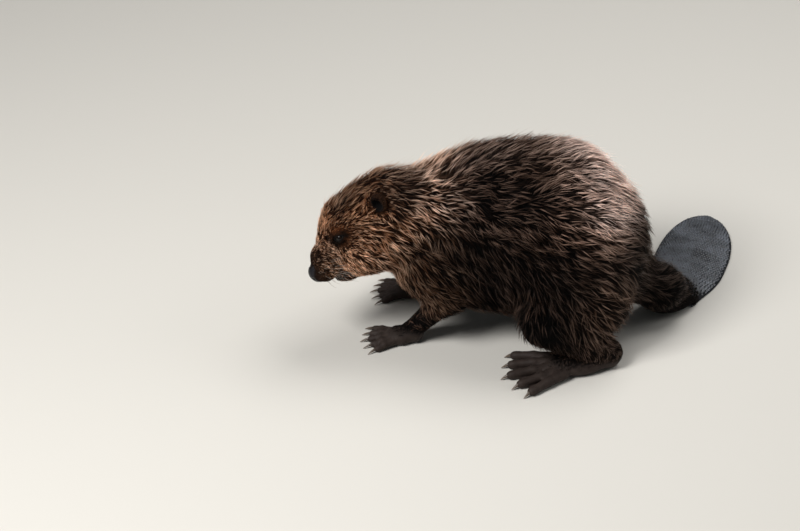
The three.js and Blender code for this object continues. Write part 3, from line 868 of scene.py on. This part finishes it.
def lock_mesh(name, lines, normals, widths, uvs, values):
    """Closed three-sided slivers along the lines, each with its own small patch of the map."""
    count = lines.shape[1]
    ahead = lines[2] - lines[0]
    across = unit(np.cross(ahead, normals[1]))
    up = unit(np.cross(across, ahead))
    ring = []
    for angle in (math.pi / 2, math.pi * 7 / 6, math.pi * 11 / 6):
        offset = across * math.cos(angle) + up * (LOCK_DEPTH * math.sin(angle))
        ring.append(lines[1] + offset * (0.5 * widths)[:, None])
    points = np.stack([lines[0], *ring, lines[2]], 1)  # lock, corner, axis
    points[..., 2] = np.maximum(points[..., 2], mm(0.1))
    size = len(LOCK_STATIONS)
    triangles = (LOCK_FACES[None] + (np.arange(count) * size)[:, None, None]).reshape(-1, 3)

    mesh = triangle_mesh(name, points.reshape(-1, 3), triangles)
    along = STATIONS[LOCK_STATIONS]
    put_attribute(mesh, "along", np.tile(along, count))
    for key, value in values.items():
        put_attribute(mesh, key, np.repeat(value, size))
    patch = np.stack([LOCK_ACROSS, along - 0.5], 1) * BAKE_PATCH
    corner_uv = np.clip(uvs, BAKE_PATCH, 1 - BAKE_PATCH)[:, None] + patch[None]
    layer = mesh.uv_layers.new(name="OFBake")
    layer.data.foreach_set("uv", corner_uv.reshape(-1, 2)[triangles.ravel()].astype(np.float32).ravel())
    return mesh


def triangle_mesh(name, points, triangles):
    mesh = bpy.data.meshes.new(name)
    mesh.vertices.add(len(points))
    put_points(mesh, points)
    mesh.loops.add(triangles.size)
    mesh.loops.foreach_set("vertex_index", triangles.astype(np.int32).ravel())
    mesh.polygons.add(len(triangles))
    mesh.polygons.foreach_set("loop_start", np.arange(0, triangles.size, 3, dtype=np.int32))
    mesh.update(calc_edges=True)
    mesh.shade_smooth()
    return mesh


def put_attribute(mesh, name, values):
    layer = mesh.attributes.new(name, "FLOAT", "POINT")
    layer.data.foreach_set("value", values.astype(np.float32))


def scatter(points, triangles, corner_uvs, weights, count):
    """Evenly spread roots: their places and their places on the map."""
    a, b, c = (points[triangles[:, n]] for n in range(3))
    share = np.cumsum(length_of(np.cross(b - a, c - a)) * weights)
    stops = (np.arange(count) + RANDOM.random(count)) / count * share[-1]
    face = np.searchsorted(share, stops)
    r, s = np.sqrt(RANDOM.random(count)), RANDOM.random(count)
    corners = np.stack([1 - r, r * (1 - s), r * s], 1)
    place = np.einsum("nc,nca->na", corners, points[triangles[face]])
    uv = np.einsum("nc,nca->na", corners, corner_uvs[face])
    return place, uv


def skin_triangles(mesh):
    """The skin's triangles, and the map's coordinates at their corners."""
    mesh.calc_loop_triangles()
    count = len(mesh.loop_triangles)
    corners, loops = np.empty(count * 3, np.int32), np.empty(count * 3, np.int32)
    mesh.loop_triangles.foreach_get("vertices", corners)
    mesh.loop_triangles.foreach_get("loops", loops)
    uv = np.empty(len(mesh.loops) * 2, np.float32)
    mesh.uv_layers["OFBake"].data.foreach_get("uv", uv)
    return corners.reshape(-1, 3), uv.reshape(-1, 2)[loops].reshape(-1, 3, 2)


def grow(name, roots, uvs, leading):
    """The locks on these roots: a dark undercoat, partly painted shade between the clumps, pale wet clumps
    over it, and a few long guard hairs.
    """
    count = len(roots)
    marks = markings(roots)
    leaders, clump = clumps_of(roots, leading)
    # The share of pale clumps is larger where the coat is greyed or reddish, which on the rump's top is a
    # painted sheen, and varies in patches.
    share = 0.15 + 0.12 * marks["grey"] + 0.09 * marks["red"] - 0.06 * marks["dark"]
    share = share[leaders] * (1 + 0.6 * np.clip(waves(roots[leaders], mm(14), 31), -1, 1))
    pale = (RANDOM.random(len(leaders)) < share)[clump] ^ (RANDOM.random(count) < STRAY_SHARE)
    by_clump = RANDOM.random(len(leaders))[clump]
    # Locks outside the pale clumps are near black: partly the underfur's own dark brown, partly painted shade
    # in the gaps between the clumps.
    bright = np.where(pale, 0.72 + 0.4 * by_clump**1.5, RANDOM.uniform(0, 0.5, count) * by_clump)
    mane = (RANDOM.random(count) < MANE_SHARE) * ramp(roots[:, 2], (150, 0), (215, 1))
    full = lock_length(roots)
    even = ramp(full, (3.5, 0.85), (9, 0))  # short velvet lies in no clumps
    bright = bright + (0.5 - bright) * even
    # Pale locks are longer and stand higher than dark ones, and guard hairs stand out of the coat.
    lengths = full * RANDOM.uniform(0.7, 1.0, count) * (1 + 0.25 * mane + 0.2 * pale)
    heights = np.minimum(coat_depth(roots) * (0.3 + 0.85 * bright), lengths * 0.66)
    low = ramp(roots[:, 2], (18, 0.15), (60, 0.7), (100, 1))
    heights = heights * low + mane * lengths * 0.22 + mm(0.5)
    turns = RANDOM.normal(0, 0.1, count) + RANDOM.normal(0, 0.17, len(leaders))[clump]
    turns += 0.35 * waves(roots, mm(24), 21)
    lines, normals = comb(roots, lengths, heights, turns)
    # The wet pale locks cling to their leaders, the dark ones less, and guard hairs not at all.
    pull = np.where(pale, RANDOM.uniform(0.8, 0.96, count), RANDOM.uniform(0.3, 0.75, count))
    pull *= 1 - mane
    pull *= length_of(lines[2, leaders[clump]] - lines[2]) < CLUMP_REACH
    amount = (STATIONS**0.5)[:, None] * pull
    lines += (lines[:, leaders[clump]] - lines) * amount[..., None]
    # Guard hairs are brighter: partly their own pale tips, partly painted rim light.
    shade = 0.02 + 1.38 * bright**2.2 + 0.35 * mane
    widths = (mm(0.35) + 0.022 * full) * (1.35 - 0.65 * bright) * (1 - 0.4 * (mane > 0))
    values = dict(marks, shade=shade)
    order = np.argsort(roots[:, 0], kind="stable")
    pieces = math.ceil(count * len(LOCK_FACES) / MOST_TRIANGLES)
    for number, part in enumerate(np.array_split(order, pieces), 1):
        picked = {key: value[part] for key, value in values.items()}
        yield lock_mesh(
            f"{name}_{number}", lines[:, part], normals[:, part], widths[part], uvs[part], picked)


# ---------- materials ----------


def colour(code):
    """A hex sRGB colour as linear light."""
    parts = [int(code[n : n + 2], 16) / 255 for n in (0, 2, 4)]
    return (*[c / 12.92 if c <= 0.04045 else ((c + 0.055) / 1.055) ** 2.4 for c in parts], 1.0)


def feed(tree, made, inputs):
    """Sets a node's inputs. Each is a value, or the output that feeds it."""
    for key, value in inputs.items():
        if isinstance(value, bpy.types.NodeSocket):
            tree.links.new(value, made.inputs[key])
        else:
            made.inputs[key].default_value = value


def node(tree, kind, inputs=None, **settings):
    """Adds a node with its settings and links, and returns its outputs."""
    made = tree.nodes.new(kind)
    for name, value in settings.items():
        setattr(made, name, value)
    feed(tree, made, inputs or {})
    return made.outputs


def material(name, **constants):
    """A new material with its shader's constants set, its tree, and the shader."""
    made = bpy.data.materials.new(name)
    made.use_nodes = True
    shader = made.node_tree.nodes["Principled BSDF"]
    for key, value in constants.items():
        shader.inputs[key.replace("_", " ")].default_value = value
    return made, made.node_tree, shader


def brightened(tree, shown, factor):
    """A colour multiplied by a factor."""
    grey = node(tree, "ShaderNodeCombineColor", {0: factor, 1: factor, 2: factor})["Color"]
    colours = {0: 1.0, 6: shown, 7: grey}
    return node(tree, "ShaderNodeMix", colours, data_type="RGBA", blend_type="MULTIPLY")[2]


def marked_colour(tree, plain, grey, red, dark):
    """The coat's colour from its markings, times its brightness, which holds painted light and shade."""
    shown = colour(plain)
    for mark, code in (("grey", grey), ("red", red), ("dark", dark)):
        share = node(tree, "ShaderNodeAttribute", attribute_name=mark)["Fac"]
        shown = node(tree, "ShaderNodeMix", {0: share, 6: shown, 7: colour(code)}, data_type="RGBA")[2]
    return brightened(tree, shown, node(tree, "ShaderNodeAttribute", attribute_name="tone_and_painted_light")["Fac"])


def coat_material():
    """Guard hair, damp and combed flat by water: dark at the root, paler and a little glossy at the tip, with
    a painted wet highlight on the palest tips.
    """
    made, tree, shader = material("guard_hair_damp", Specular_IOR_Level=0.12)
    shade = node(tree, "ShaderNodeAttribute", attribute_name="shade")["Fac"]
    along = node(tree, "ShaderNodeAttribute", attribute_name="along")["Fac"]
    root = marked_colour(tree, "180c06", "1a100b", "2a1408", "0b0604")
    tip = marked_colour(tree, "a8744f", "c7a99a", "b2683a", "4a2f20")
    # The palest tips: partly pale hair, partly a painted wet highlight.
    pale_tip_and_painted_glint = marked_colour(tree, "d4b198", "e4d1c8", "d6a27c", "957463")
    pale = node(tree, "ShaderNodeMapRange", {"Value": shade, "From Min": 0.6, "From Max": 1.2})["Result"]
    tip = node(tree, "ShaderNodeMix", {0: pale, 6: tip, 7: pale_tip_and_painted_glint}, data_type="RGBA")[2]
    outer = node(tree, "ShaderNodeMapRange", {"Value": along, "From Min": 0.2, "From Max": 0.8})["Result"]
    lock = node(tree, "ShaderNodeMix", {0: outer, 6: root, 7: tip}, data_type="RGBA")[2]
    limits = {"Value": shade, "From Min": 0.1, "To Min": 0.85, "To Max": 0.38}
    rough = node(tree, "ShaderNodeMapRange", limits)["Result"]
    feed(tree, shader, {"Base Color": brightened(tree, lock, shade), "Roughness": rough})
    return made


BARE_COLOURS = {  # the darker and the paler blotches of the skin where no hair grows
    "paw": ("241d1a", "3d332e"),
    "tail": ("141518", "212327"),
    "ear": ("070505", "070505"),
    # Inside the ear, near black: partly its dark skin, partly painted shade in the hollow.
    "lid": ("0a0706", "0a0706"),
    "nose": ("151416", "2b2a2d"),
}


def skin_material():
    """Hide: dark and dull under the coat, partly its own colour and partly painted shade between the locks,
    leathery where it is bare, pebbled and moist on the nose.
    """
    made, tree, shader = material("tanned_hide", Specular_IOR_Level=0.13)
    place = node(tree, "ShaderNodeTexCoord")["Object"]
    blotch = node(tree, "ShaderNodeTexNoise", {"Vector": place, "Scale": 1 / mm(9), "Detail": 3})["Fac"]
    # Under the coat the hide is near black: partly its own colour, partly painted shade in the gaps between
    # the locks.
    shown = marked_colour(tree, "20140e", "241a15", "3a2112", "120c09")
    zones = {}
    for zone, codes in BARE_COLOURS.items():
        zones[zone] = node(tree, "ShaderNodeAttribute", attribute_name=zone)["Fac"]
        dark, pale = map(colour, codes)
        bare = node(tree, "ShaderNodeMix", {0: blotch, 6: dark, 7: pale}, data_type="RGBA")[2]
        shown = node(tree, "ShaderNodeMix", {0: zones[zone], 6: shown, 7: bare}, data_type="RGBA")[2]

    fine, coarse = (
        node(tree, "ShaderNodeTexVoronoi", {"Vector": place, "Scale": 1 / pebble})["Distance"]
        for pebble in (mm(1.3), mm(2.4)))
    grain = node(tree, "ShaderNodeMix", {0: zones["nose"], 2: coarse, 3: fine})[0]
    bump = node(tree, "ShaderNodeBump", {"Height": grain, "Strength": 0.5, "Distance": mm(0.5)})["Normal"]
    bald = zones["paw"]
    for zone in ("tail", "lid"):
        bald = node(tree, "ShaderNodeMath", {0: bald, 1: zones[zone]}, operation="MAXIMUM")[0]
    dull = node(tree, "ShaderNodeMapRange", {"Value": bald, "To Min": 0.95, "To Max": 0.6})["Result"]
    rough = node(tree, "ShaderNodeMix", {0: zones["nose"], 2: dull, 3: 0.22})[0]
    feed(tree, shader, {"Base Color": shown, "Roughness": rough, "Normal": bump})
    return made


def eye_material(side):
    """Cornea over a near-black iris: polished wet, so that it only shows what it reflects."""
    made, tree, shader = material(
        f"eye_wet_{side}", Roughness=0.08, IOR=1.38, Specular_IOR_Level=0.4)
    facing = node(tree, "ShaderNodeAttribute", attribute_name="facing")["Fac"]
    shown = colour("080504")
    for start, end, code in ((0.80, 0.84, "1b100a"), (0.925, 0.94, "030202")):  # the iris, the pupil
        edge = {"Value": facing, "From Min": start, "From Max": end}
        within = node(tree, "ShaderNodeMapRange", edge)["Result"]
        shown = node(tree, "ShaderNodeMix", {0: within, 6: shown, 7: colour(code)}, data_type="RGBA")[2]
    feed(tree, shader, {"Base Color": shown})
    return made


def claw_material():
    """Horn worn by digging: dark and lengthwise ridged at the root, paler and scuffed at the tip."""
    made, tree, shader = material("claw_horn", Roughness=0.38, IOR=1.55)
    along = node(tree, "ShaderNodeAttribute", attribute_name="along")["Fac"]
    tip = node(tree, "ShaderNodeMapRange", {"Value": along, "From Min": 0.2})["Result"]
    horn = {0: tip, 6: colour("2a201b"), 7: colour("6b5b4c")}
    shown = node(tree, "ShaderNodeMix", horn, data_type="RGBA")[2]
    place = node(tree, "ShaderNodeTexCoord")["Object"]
    ridges = node(tree, "ShaderNodeTexNoise", {"Vector": place, "Scale": 1 / mm(1.2), "Detail": 2})["Fac"]
    bump = node(tree, "ShaderNodeBump", {"Height": ridges, "Strength": 0.3, "Distance": mm(0.3)})["Normal"]
    feed(tree, shader, {"Base Color": shown, "Normal": bump})
    return made


def bristle_material():
    """Whisker: a stiff smooth hair, pale horn against the dark lips."""
    made, tree, shader = material("whisker_bristle", Roughness=0.4, IOR=1.55)
    place = node(tree, "ShaderNodeTexCoord")["Object"]
    patch = node(tree, "ShaderNodeTexNoise", {"Vector": place, "Scale": 1 / mm(12)})["Fac"]
    horn = {0: patch, 6: colour("4a3c33"), 7: colour("a89a8c")}
    feed(tree, shader, {"Base Color": node(tree, "ShaderNodeMix", horn, data_type="RGBA")[2]})
    return made


def scale_material():
    """Scaly tail skin: slate-dark horny plates, worn smooth, with a dull wet gloss and mud between them."""
    made, tree, shader = material("tail_scale_horn", IOR=1.5, Specular_IOR_Level=0.8)
    place = node(tree, "ShaderNodeTexCoord")["Object"]
    patch, fine = (
        node(tree, "ShaderNodeTexNoise", {"Vector": place, "Scale": 1 / size, "Detail": detail})["Fac"]
        for size, detail in ((mm(28), 4), (mm(3.5), 2)))
    worn = node(tree, "ShaderNodeMapRange", {"Value": patch, "From Min": 0.35, "From Max": 0.65})["Result"]
    horn = {0: worn, 6: colour("3a3d43"), 7: colour("646971")}
    horn = node(tree, "ShaderNodeMix", horn, data_type="RGBA")[2]
    mud = node(tree, "ShaderNodeMapRange", {"Value": fine, "From Min": 0.45, "From Max": 0.75})["Result"]
    shown = node(tree, "ShaderNodeMix", {0: mud, 6: horn, 7: colour("2b2825")}, data_type="RGBA")[2]
    gloss = {"Value": patch, "From Min": 0.3, "From Max": 0.7, "To Min": 0.25, "To Max": 0.42}
    gloss = node(tree, "ShaderNodeMapRange", gloss)["Result"]
    bump = node(tree, "ShaderNodeBump", {"Height": fine, "Strength": 0.35, "Distance": mm(0.4)})["Normal"]
    feed(tree, shader, {"Base Color": shown, "Roughness": gloss, "Normal": bump})
    return made


# ---------- the pieces ----------


def add_object(name, data):
    """An object at the origin, in the scene."""
    made = bpy.data.objects.new(name, data)
    bpy.context.scene.collection.objects.link(made)
    return made


def add_piece(name, mesh, slot, finish, *replaced):
    mesh.materials.clear()
    mesh.materials.append(finish)
    piece = add_object(name, mesh)
    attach(piece, "root")
    if replaced:
        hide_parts(*replaced)


def unwrap(mesh):
    """The skin laid out flat on its map, OFBake."""
    piece = add_object("unwrapping", mesh)
    bpy.context.view_layer.objects.active = piece
    piece.select_set(True)
    mesh.uv_layers.new(name="OFBake")
    bpy.ops.object.mode_set(mode="EDIT")
    bpy.ops.mesh.select_all(action="SELECT")
    bpy.ops.uv.smart_project(angle_limit=math.radians(66), island_margin=0.002)
    bpy.ops.object.mode_set(mode="OBJECT")
    bpy.data.objects.remove(piece)


def make_skin_and_coat():
    mesh = skin_mesh()
    unwrap(mesh)
    points = vertices_of(mesh)
    for name, values in {**markings(points), **bare_zones(points)}.items():
        put_attribute(mesh, name, values)
    mesh.shade_smooth()
    flesh = [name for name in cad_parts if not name.startswith("eye")]
    add_piece("skin", mesh, "coat", skin_material(), *flesh)

    triangles, corner_uvs = skin_triangles(mesh)
    centres = points[triangles].mean(1)
    bare = np.maximum.reduce(list(bare_zones(centres).values()))
    on_head = (to_head(centres)[:, 0] < BEHIND_HEAD) & (centres[:, 2] > mm(90))
    underside = ramp(centres[:, 2], (4, 0), (10, 0.6), (40, 1))
    finish = coat_material()
    denser = np.interp(lock_length(centres), mm(4, 24), (2.8, 0.8))
    for name, chosen in (("body", ~on_head), ("head", on_head)):
        weights = (1 - bare) ** 2 * chosen * underside * denser
        roots, uvs = scatter(points, triangles, corner_uvs, weights, LOCKS[name])
        for locks in grow("coat_" + name, roots, uvs, LEADERS[name]):
            add_piece(locks.name, locks, "coat", finish)


def make_eyes():
    for name, side in SIDES.items():
        gaze, _, _ = eye_axes(side)
        bm = bmesh.new()
        bmesh.ops.create_uvsphere(bm, u_segments=48, v_segments=32, radius=1)
        mesh = bpy.data.meshes.new("eye_ball_" + name)
        bm.to_mesh(mesh)
        bm.free()
        ball = unit(vertices_of(mesh))
        facing = ball @ gaze
        bulge = 1 + 0.05 * np.clip((facing - 0.8) / 0.2, 0, 1) ** 0.7
        points = NOSE + (EYE * (1, side, 1) + ball * bulge[:, None] * EYE_RADIUS) @ HEAD_AXES.T
        put_points(mesh, points)
        put_attribute(mesh, "facing", facing)
        mesh.shade_smooth()
        add_piece("eye_ball_" + name, mesh, "eye", eye_material(name), "eye_" + name)


CLAW_RINGS, CLAW_SIDES = 9, 10


def claw_mesh(paw, leg, joint, side):
    """A paw's five claws: curved, deeper than wide, running out to a blunt point."""
    place, axes = paw_place(leg, joint, side)
    points, faces = [], []
    for aside in DIGITS:
        knuckle, direction, length = digit_line(paw, aside)
        across = np.array((direction[1], -direction[0], 0))
        tip = knuckle + direction * length
        start = tip - direction * paw["claw"] * 0.25 + (0, 0, paw["height"] * 0.58)
        end = tip + direction * paw["claw"] * 0.92 + (0, 0, mm(1.2))
        knee = start + (end - start) * 0.55 + (0, 0, paw["height"] * 0.3)
        first = len(points)
        for i in range(CLAW_RINGS):
            t = i / (CLAW_RINGS - 1)
            centre = start * (1 - t) ** 2 + knee * 2 * t * (1 - t) + end * t**2
            radius = paw["radius"] * 0.46 * (1 - t**1.6) + mm(0.35)
            for j in range(CLAW_SIDES):
                angle = 2 * math.pi * j / CLAW_SIDES
                rise = math.sin(angle) * (1.15 if math.sin(angle) > 0 else 0.7)
                points.append(centre + across * math.cos(angle) * radius * 0.85 + (0, 0, rise * radius))
        for i in range(CLAW_RINGS - 1):
            for j in range(CLAW_SIDES):
                a, b = first + i * CLAW_SIDES + j, first + i * CLAW_SIDES + (j + 1) % CLAW_SIDES
                faces.append((a, b, b + CLAW_SIDES, a + CLAW_SIDES))
        faces.append(tuple(first + j for j in reversed(range(CLAW_SIDES))))
        faces.append(tuple(first + (CLAW_RINGS - 1) * CLAW_SIDES + j for j in range(CLAW_SIDES)))
    points = np.array(points)
    points[:, 2] = np.maximum(points[:, 2], FLOOR_CLEARANCE)
    mesh = bpy.data.meshes.new("claws")
    mesh.from_pydata((place + points @ axes.T).tolist(), [], faces)
    along = np.repeat(np.linspace(0, 1, CLAW_RINGS), CLAW_SIDES)
    put_attribute(mesh, "along", np.tile(along, len(DIGITS)))
    bm = bmesh.new()
    bm.from_mesh(mesh)
    bmesh.ops.recalc_face_normals(bm, faces=bm.faces)
    bm.to_mesh(mesh)
    bm.free()
    mesh.shade_smooth()
    return mesh


def make_claws():
    finish = claw_material()
    for name, side in SIDES.items():
        add_piece("claws_hand_" + name, claw_mesh(HAND, FORE, WRIST, side), "claw", finish)
        add_piece("claws_foot_" + name, claw_mesh(FOOT, HIND, HEEL, side), "claw", finish)


def geometry_tree(name, *inputs):
    """An empty tree with named inputs, given as (name, kind, value)."""
    tree = bpy.data.node_groups.new(name, "GeometryNodeTree")
    tree.interface.new_socket("Geometry", in_out="INPUT", socket_type="NodeSocketGeometry")
    for label, kind, value in inputs:
        tree.interface.new_socket(label, in_out="INPUT", socket_type=kind).default_value = value
    tree.interface.new_socket("Geometry", in_out="OUTPUT", socket_type="NodeSocketGeometry")
    return tree, node(tree, "NodeGroupInput")


def grown_mesh(name, base, tree, **values):
    """The mesh that a tree makes of a base mesh, with the tree's inputs set."""
    carrier = add_object(name, base)
    modifier = carrier.modifiers.new(name, "NODES")
    modifier.node_group = tree
    for item in tree.interface.items_tree:
        key = item.name.replace(" ", "_").lower()
        if item.in_out == "INPUT" and key in values:
            modifier[item.identifier] = values[key]
    graph = bpy.context.evaluated_depsgraph_get()
    made = bpy.data.meshes.new_from_object(carrier.evaluated_get(graph))
    carrier.modifiers.clear()
    bpy.data.objects.remove(carrier)
    return made


def whisker_tree(finish):
    """Thin tapering hairs along the edges of a mesh."""
    tree, given = geometry_tree(
        "whiskers", ("Thickness", "NodeSocketFloat", mm(0.6)), ("Seed", "NodeSocketInt", 5))
    curves = node(tree, "GeometryNodeMeshToCurve", {"Mesh": given["Geometry"]})["Curve"]
    share = node(tree, "GeometryNodeSplineParameter")["Factor"]
    thin = node(tree, "ShaderNodeMapRange", {"Value": share, "To Min": 1.0, "To Max": 0.25})["Result"]
    vary = node(tree, "FunctionNodeRandomValue", {"Seed": given["Seed"], 2: 0.4, 3: 0.6},
                data_type="FLOAT")[1]
    half = node(tree, "ShaderNodeMath", {0: given["Thickness"], 1: vary}, operation="MULTIPLY")[0]
    radius = node(tree, "ShaderNodeMath", {0: half, 1: thin}, operation="MULTIPLY")[0]
    ring = node(tree, "GeometryNodeCurvePrimitiveCircle", {"Resolution": 5, "Radius": 1.0})["Curve"]
    tubes = node(tree, "GeometryNodeCurveToMesh",
                 {"Curve": curves, "Profile Curve": ring, "Scale": radius, "Fill Caps": True})["Mesh"]
    done = node(tree, "GeometryNodeSetMaterial", {"Geometry": tubes, "Material": finish})["Geometry"]
    node(tree, "NodeGroupOutput", {"Geometry": done})
    return tree


WHISKER_ROWS = 5
WHISKERS_IN_ROW = 6
WHISKER_POINTS = 9  # along each


def make_whiskers():
    """Bristles in rows on both lips, the hind ones longest, swept back and drooping."""
    draw = np.random.default_rng(17)
    points, edges = [], []
    for side in SIDES.values():
        for row in range(WHISKER_ROWS):
            for rank in range(WHISKERS_IN_ROW):
                x, z = 10 + 4.2 * rank + draw.normal(0, 0.8), -4.6 * row + draw.normal(0, 0.8)
                start = mm(x, 14 * side, z)
                length = mm(20 + 6 * rank) * draw.uniform(0.75, 1.15)
                way = np.array((-0.25 + 0.16 * rank, side * draw.uniform(0.8, 1.0), 0.15 - 0.16 * row))
                way = direction(way)
                first = len(points)
                for step in range(WHISKER_POINTS):
                    t = step / (WHISKER_POINTS - 1)
                    bend = np.array((0.34, -0.25 * side, -0.26)) * length * t**2
                    points.append(start + way * length * t + bend)
                    if step:
                        edges.append((first + step - 1, first + step))
    base = bpy.data.meshes.new("whisker_lines")
    points = NOSE + np.array(points) @ HEAD_AXES.T
    base.from_pydata(points.tolist(), edges, [])
    finish = bristle_material()
    mesh = grown_mesh("whiskers", base, whisker_tree(finish), thickness=mm(0.75), seed=5)
    add_piece("whiskers", mesh, "coat", finish)


def scale_tree(finish):
    """A flat domed plate on each vertex of a mesh, turned and sized by its attributes."""
    tree, given = geometry_tree(
        "tail_scales",
        ("Length", "NodeSocketFloat", mm(5)),
        ("Width", "NodeSocketFloat", mm(5)),
        ("Height", "NodeSocketFloat", mm(0.8)),
        ("Seed", "NodeSocketInt", 7),
    )
    ball = node(tree, "GeometryNodeMeshUVSphere", {"Segments": 8, "Rings": 5, "Radius": 0.5})["Mesh"]
    size = {"X": given["Length"], "Y": given["Width"], "Z": given["Height"]}
    size = node(tree, "ShaderNodeCombineXYZ", size)["Vector"]
    plate = node(tree, "GeometryNodeTransform", {"Geometry": ball, "Scale": size})["Geometry"]
    turn = node(tree, "GeometryNodeInputNamedAttribute", {"Name": "turn"}, data_type="FLOAT_VECTOR")[0]
    turned = node(tree, "FunctionNodeEulerToRotation", {"Euler": turn})["Rotation"]
    fit = node(tree, "GeometryNodeInputNamedAttribute", {"Name": "fit"}, data_type="FLOAT")[0]
    vary = node(tree, "FunctionNodeRandomValue", {"Seed": given["Seed"], 2: 0.88, 3: 1.08},
                data_type="FLOAT")[1]
    scale = node(tree, "ShaderNodeMath", {0: fit, 1: vary}, operation="MULTIPLY")[0]
    plates = node(tree, "GeometryNodeInstanceOnPoints",
                  {"Points": given["Geometry"], "Instance": plate, "Rotation": turned, "Scale": scale})[0]
    real = node(tree, "GeometryNodeRealizeInstances", {"Geometry": plates})["Geometry"]
    smooth = node(tree, "GeometryNodeSetShadeSmooth", {"Geometry": real})["Geometry"]
    done = node(tree, "GeometryNodeSetMaterial", {"Geometry": smooth, "Material": finish})["Geometry"]
    node(tree, "NodeGroupOutput", {"Geometry": done})
    return tree


SCALE_PITCH = mm(4.4, 4.6)  # along and across the tail
SCALES_BEFORE_BLADE = mm(12)  # how far the rows start up the tail's root
SCALE_MARGIN = mm(1.6)  # from the blade's edge to the outermost scales
LOWEST_SCALE = mm(2.2)  # the least height of the upper face's scales


def scale_places():
    """Staggered rows over the blade, in its own frame."""
    draw = np.random.default_rng(23)
    rows = []
    for row in range(int((TAIL_LENGTH + mm(10)) / SCALE_PITCH[0]) + 1):
        x = row * SCALE_PITCH[0] - SCALES_BEFORE_BLADE
        middle, half_width, _ = blade_at(x)
        count = int(half_width * 2 / SCALE_PITCH[1])
        across = (np.arange(count) - (count - 1) / 2 + 0.25 * (-1) ** row) * SCALE_PITCH[1]
        across = across[np.abs(across) < half_width - SCALE_MARGIN]
        if len(across):
            jitter = draw.normal(0, mm(0.25), (2, len(across)))
            rows.append(np.stack([x + jitter[0], middle + across + jitter[1], 0 * across], 1))
    return np.concatenate(rows)


def make_tail_scales():
    """Scales over the tail blade's upper face and its underside, smaller towards the rim."""
    places = scale_places()
    middle, half_width, _ = blade_at(places[:, 0])
    inwards = half_width - np.abs(places[:, 1] - middle)
    lower = from_tail(places + (0, 0, mm(1)))
    places[:, 2] = blade_top(places[:, 0], places[:, 1]) + mm(0.2)
    places[:, 2] += ramp(places[:, 0], (-12, mm(16)), (26, 0))
    upper = settle(skin, from_tail(places), 7)
    upper[:, 2] = np.maximum(upper[:, 2], LOWEST_SCALE)
    _, slope = value_and_slope(skin, upper)
    turns = []
    along = Vector(TAIL_AXES[:, 0])
    for up in map(Vector, unit(slope)):
        ahead = (along - up * up.dot(along)).normalized()
        lean = ahead + up * 0.10  # each plate's hind edge stands over the next
        across = up.cross(lean).normalized()
        lean.normalize()
        matrix = np.array([lean, across, lean.cross(across)]).T
        turns.append(tuple(Matrix(matrix.tolist()).to_euler()))
    points = np.concatenate([upper, lower])
    base = bpy.data.meshes.new("scale_places")
    base.from_pydata(points.tolist(), [], [])
    layer = base.attributes.new("turn", "FLOAT_VECTOR", "POINT")
    turns += [(0, 0, TAIL_TURN)] * len(lower)
    layer.data.foreach_set("vector", np.array(turns).astype(np.float32).ravel())
    put_attribute(base, "fit", np.tile(np.interp(inwards, mm(0, 8), (0.6, 1)), 2))
    finish = scale_material()
    tree = scale_tree(finish)
    mesh = grown_mesh("tail_scales", base, tree, length=mm(6.2), width=mm(5.2), height=mm(1.3), seed=7)
    add_piece("tail_scales", mesh, "tail_scales", finish)


# ---------- the camera, the floor and the lights ----------

FRAME_MIDDLE = at(138, 0, 111)
LIGHTS_MIDDLE = at(416, 0, 0)
CAMERA_RISE = math.radians(34)
CAMERA_DISTANCE = 4.13
CAMERA_LENS = 120
LAMPS = {  # each one's place from the middle, the side of its square and its power in watts
    "key": ((-1.6, -1.3, 2.2), 1.0, 80),
    "top": ((0.7, 0.7, 2.5), 1.4, 32),
    "side": ((2.2, 0.2, 1.8), 1.6, 14),
}
LAMPS_AIM = Vector((0, 0, 0.1))  # from the middle
FLOOR_CORNERS = ((-6, -6, 0), (6, -6, 0), (6, 10, 0), (-6, 10, 0))


def make_studio():
    """The camera on the animal's left, a plain floor, and soft light from three sides and all round."""
    camera = bpy.data.cameras.new("camera")
    camera.lens = CAMERA_LENS
    stand = add_object("camera", camera)
    back = Vector((0, -math.cos(CAMERA_RISE), math.sin(CAMERA_RISE)))
    stand.location = Vector(FRAME_MIDDLE) + back * CAMERA_DISTANCE
    stand.rotation_euler = (-back).to_track_quat("-Z", "Y").to_euler()
    bpy.context.scene.camera = stand

    floor_mesh = bpy.data.meshes.new("floor")
    floor_mesh.from_pydata(FLOOR_CORNERS, [], [(0, 1, 2, 3)])
    paper, _, shader = material("floor_matt_paper", Roughness=0.9)
    shader.inputs["Base Color"].default_value = colour("d2cec6")
    floor_mesh.materials.append(paper)
    add_object("floor", floor_mesh)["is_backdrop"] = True

    for name, (place, size, power) in LAMPS.items():
        lamp = bpy.data.lights.new(name, "AREA")
        lamp.size = size
        lamp.energy = power
        light = add_object(name, lamp)
        light.location = Vector(place) + Vector(LIGHTS_MIDDLE)
        light.rotation_euler = (LAMPS_AIM - Vector(place)).to_track_quat("-Z", "Y").to_euler()
    world = bpy.data.worlds.new("studio")
    world.use_nodes = True
    background = world.node_tree.nodes["Background"].inputs
    background["Color"].default_value = colour("cfd3d6")
    background["Strength"].default_value = 0.16
    bpy.context.scene.world = world
    bpy.context.scene.view_settings.view_transform = "Standard"


make_studio()
make_skin_and_coat()
make_eyes()
make_claws()
make_whiskers()
make_tail_scales()

{"cad": [list(c) for c in CAD_BOX], "visual": [list(c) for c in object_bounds()]}
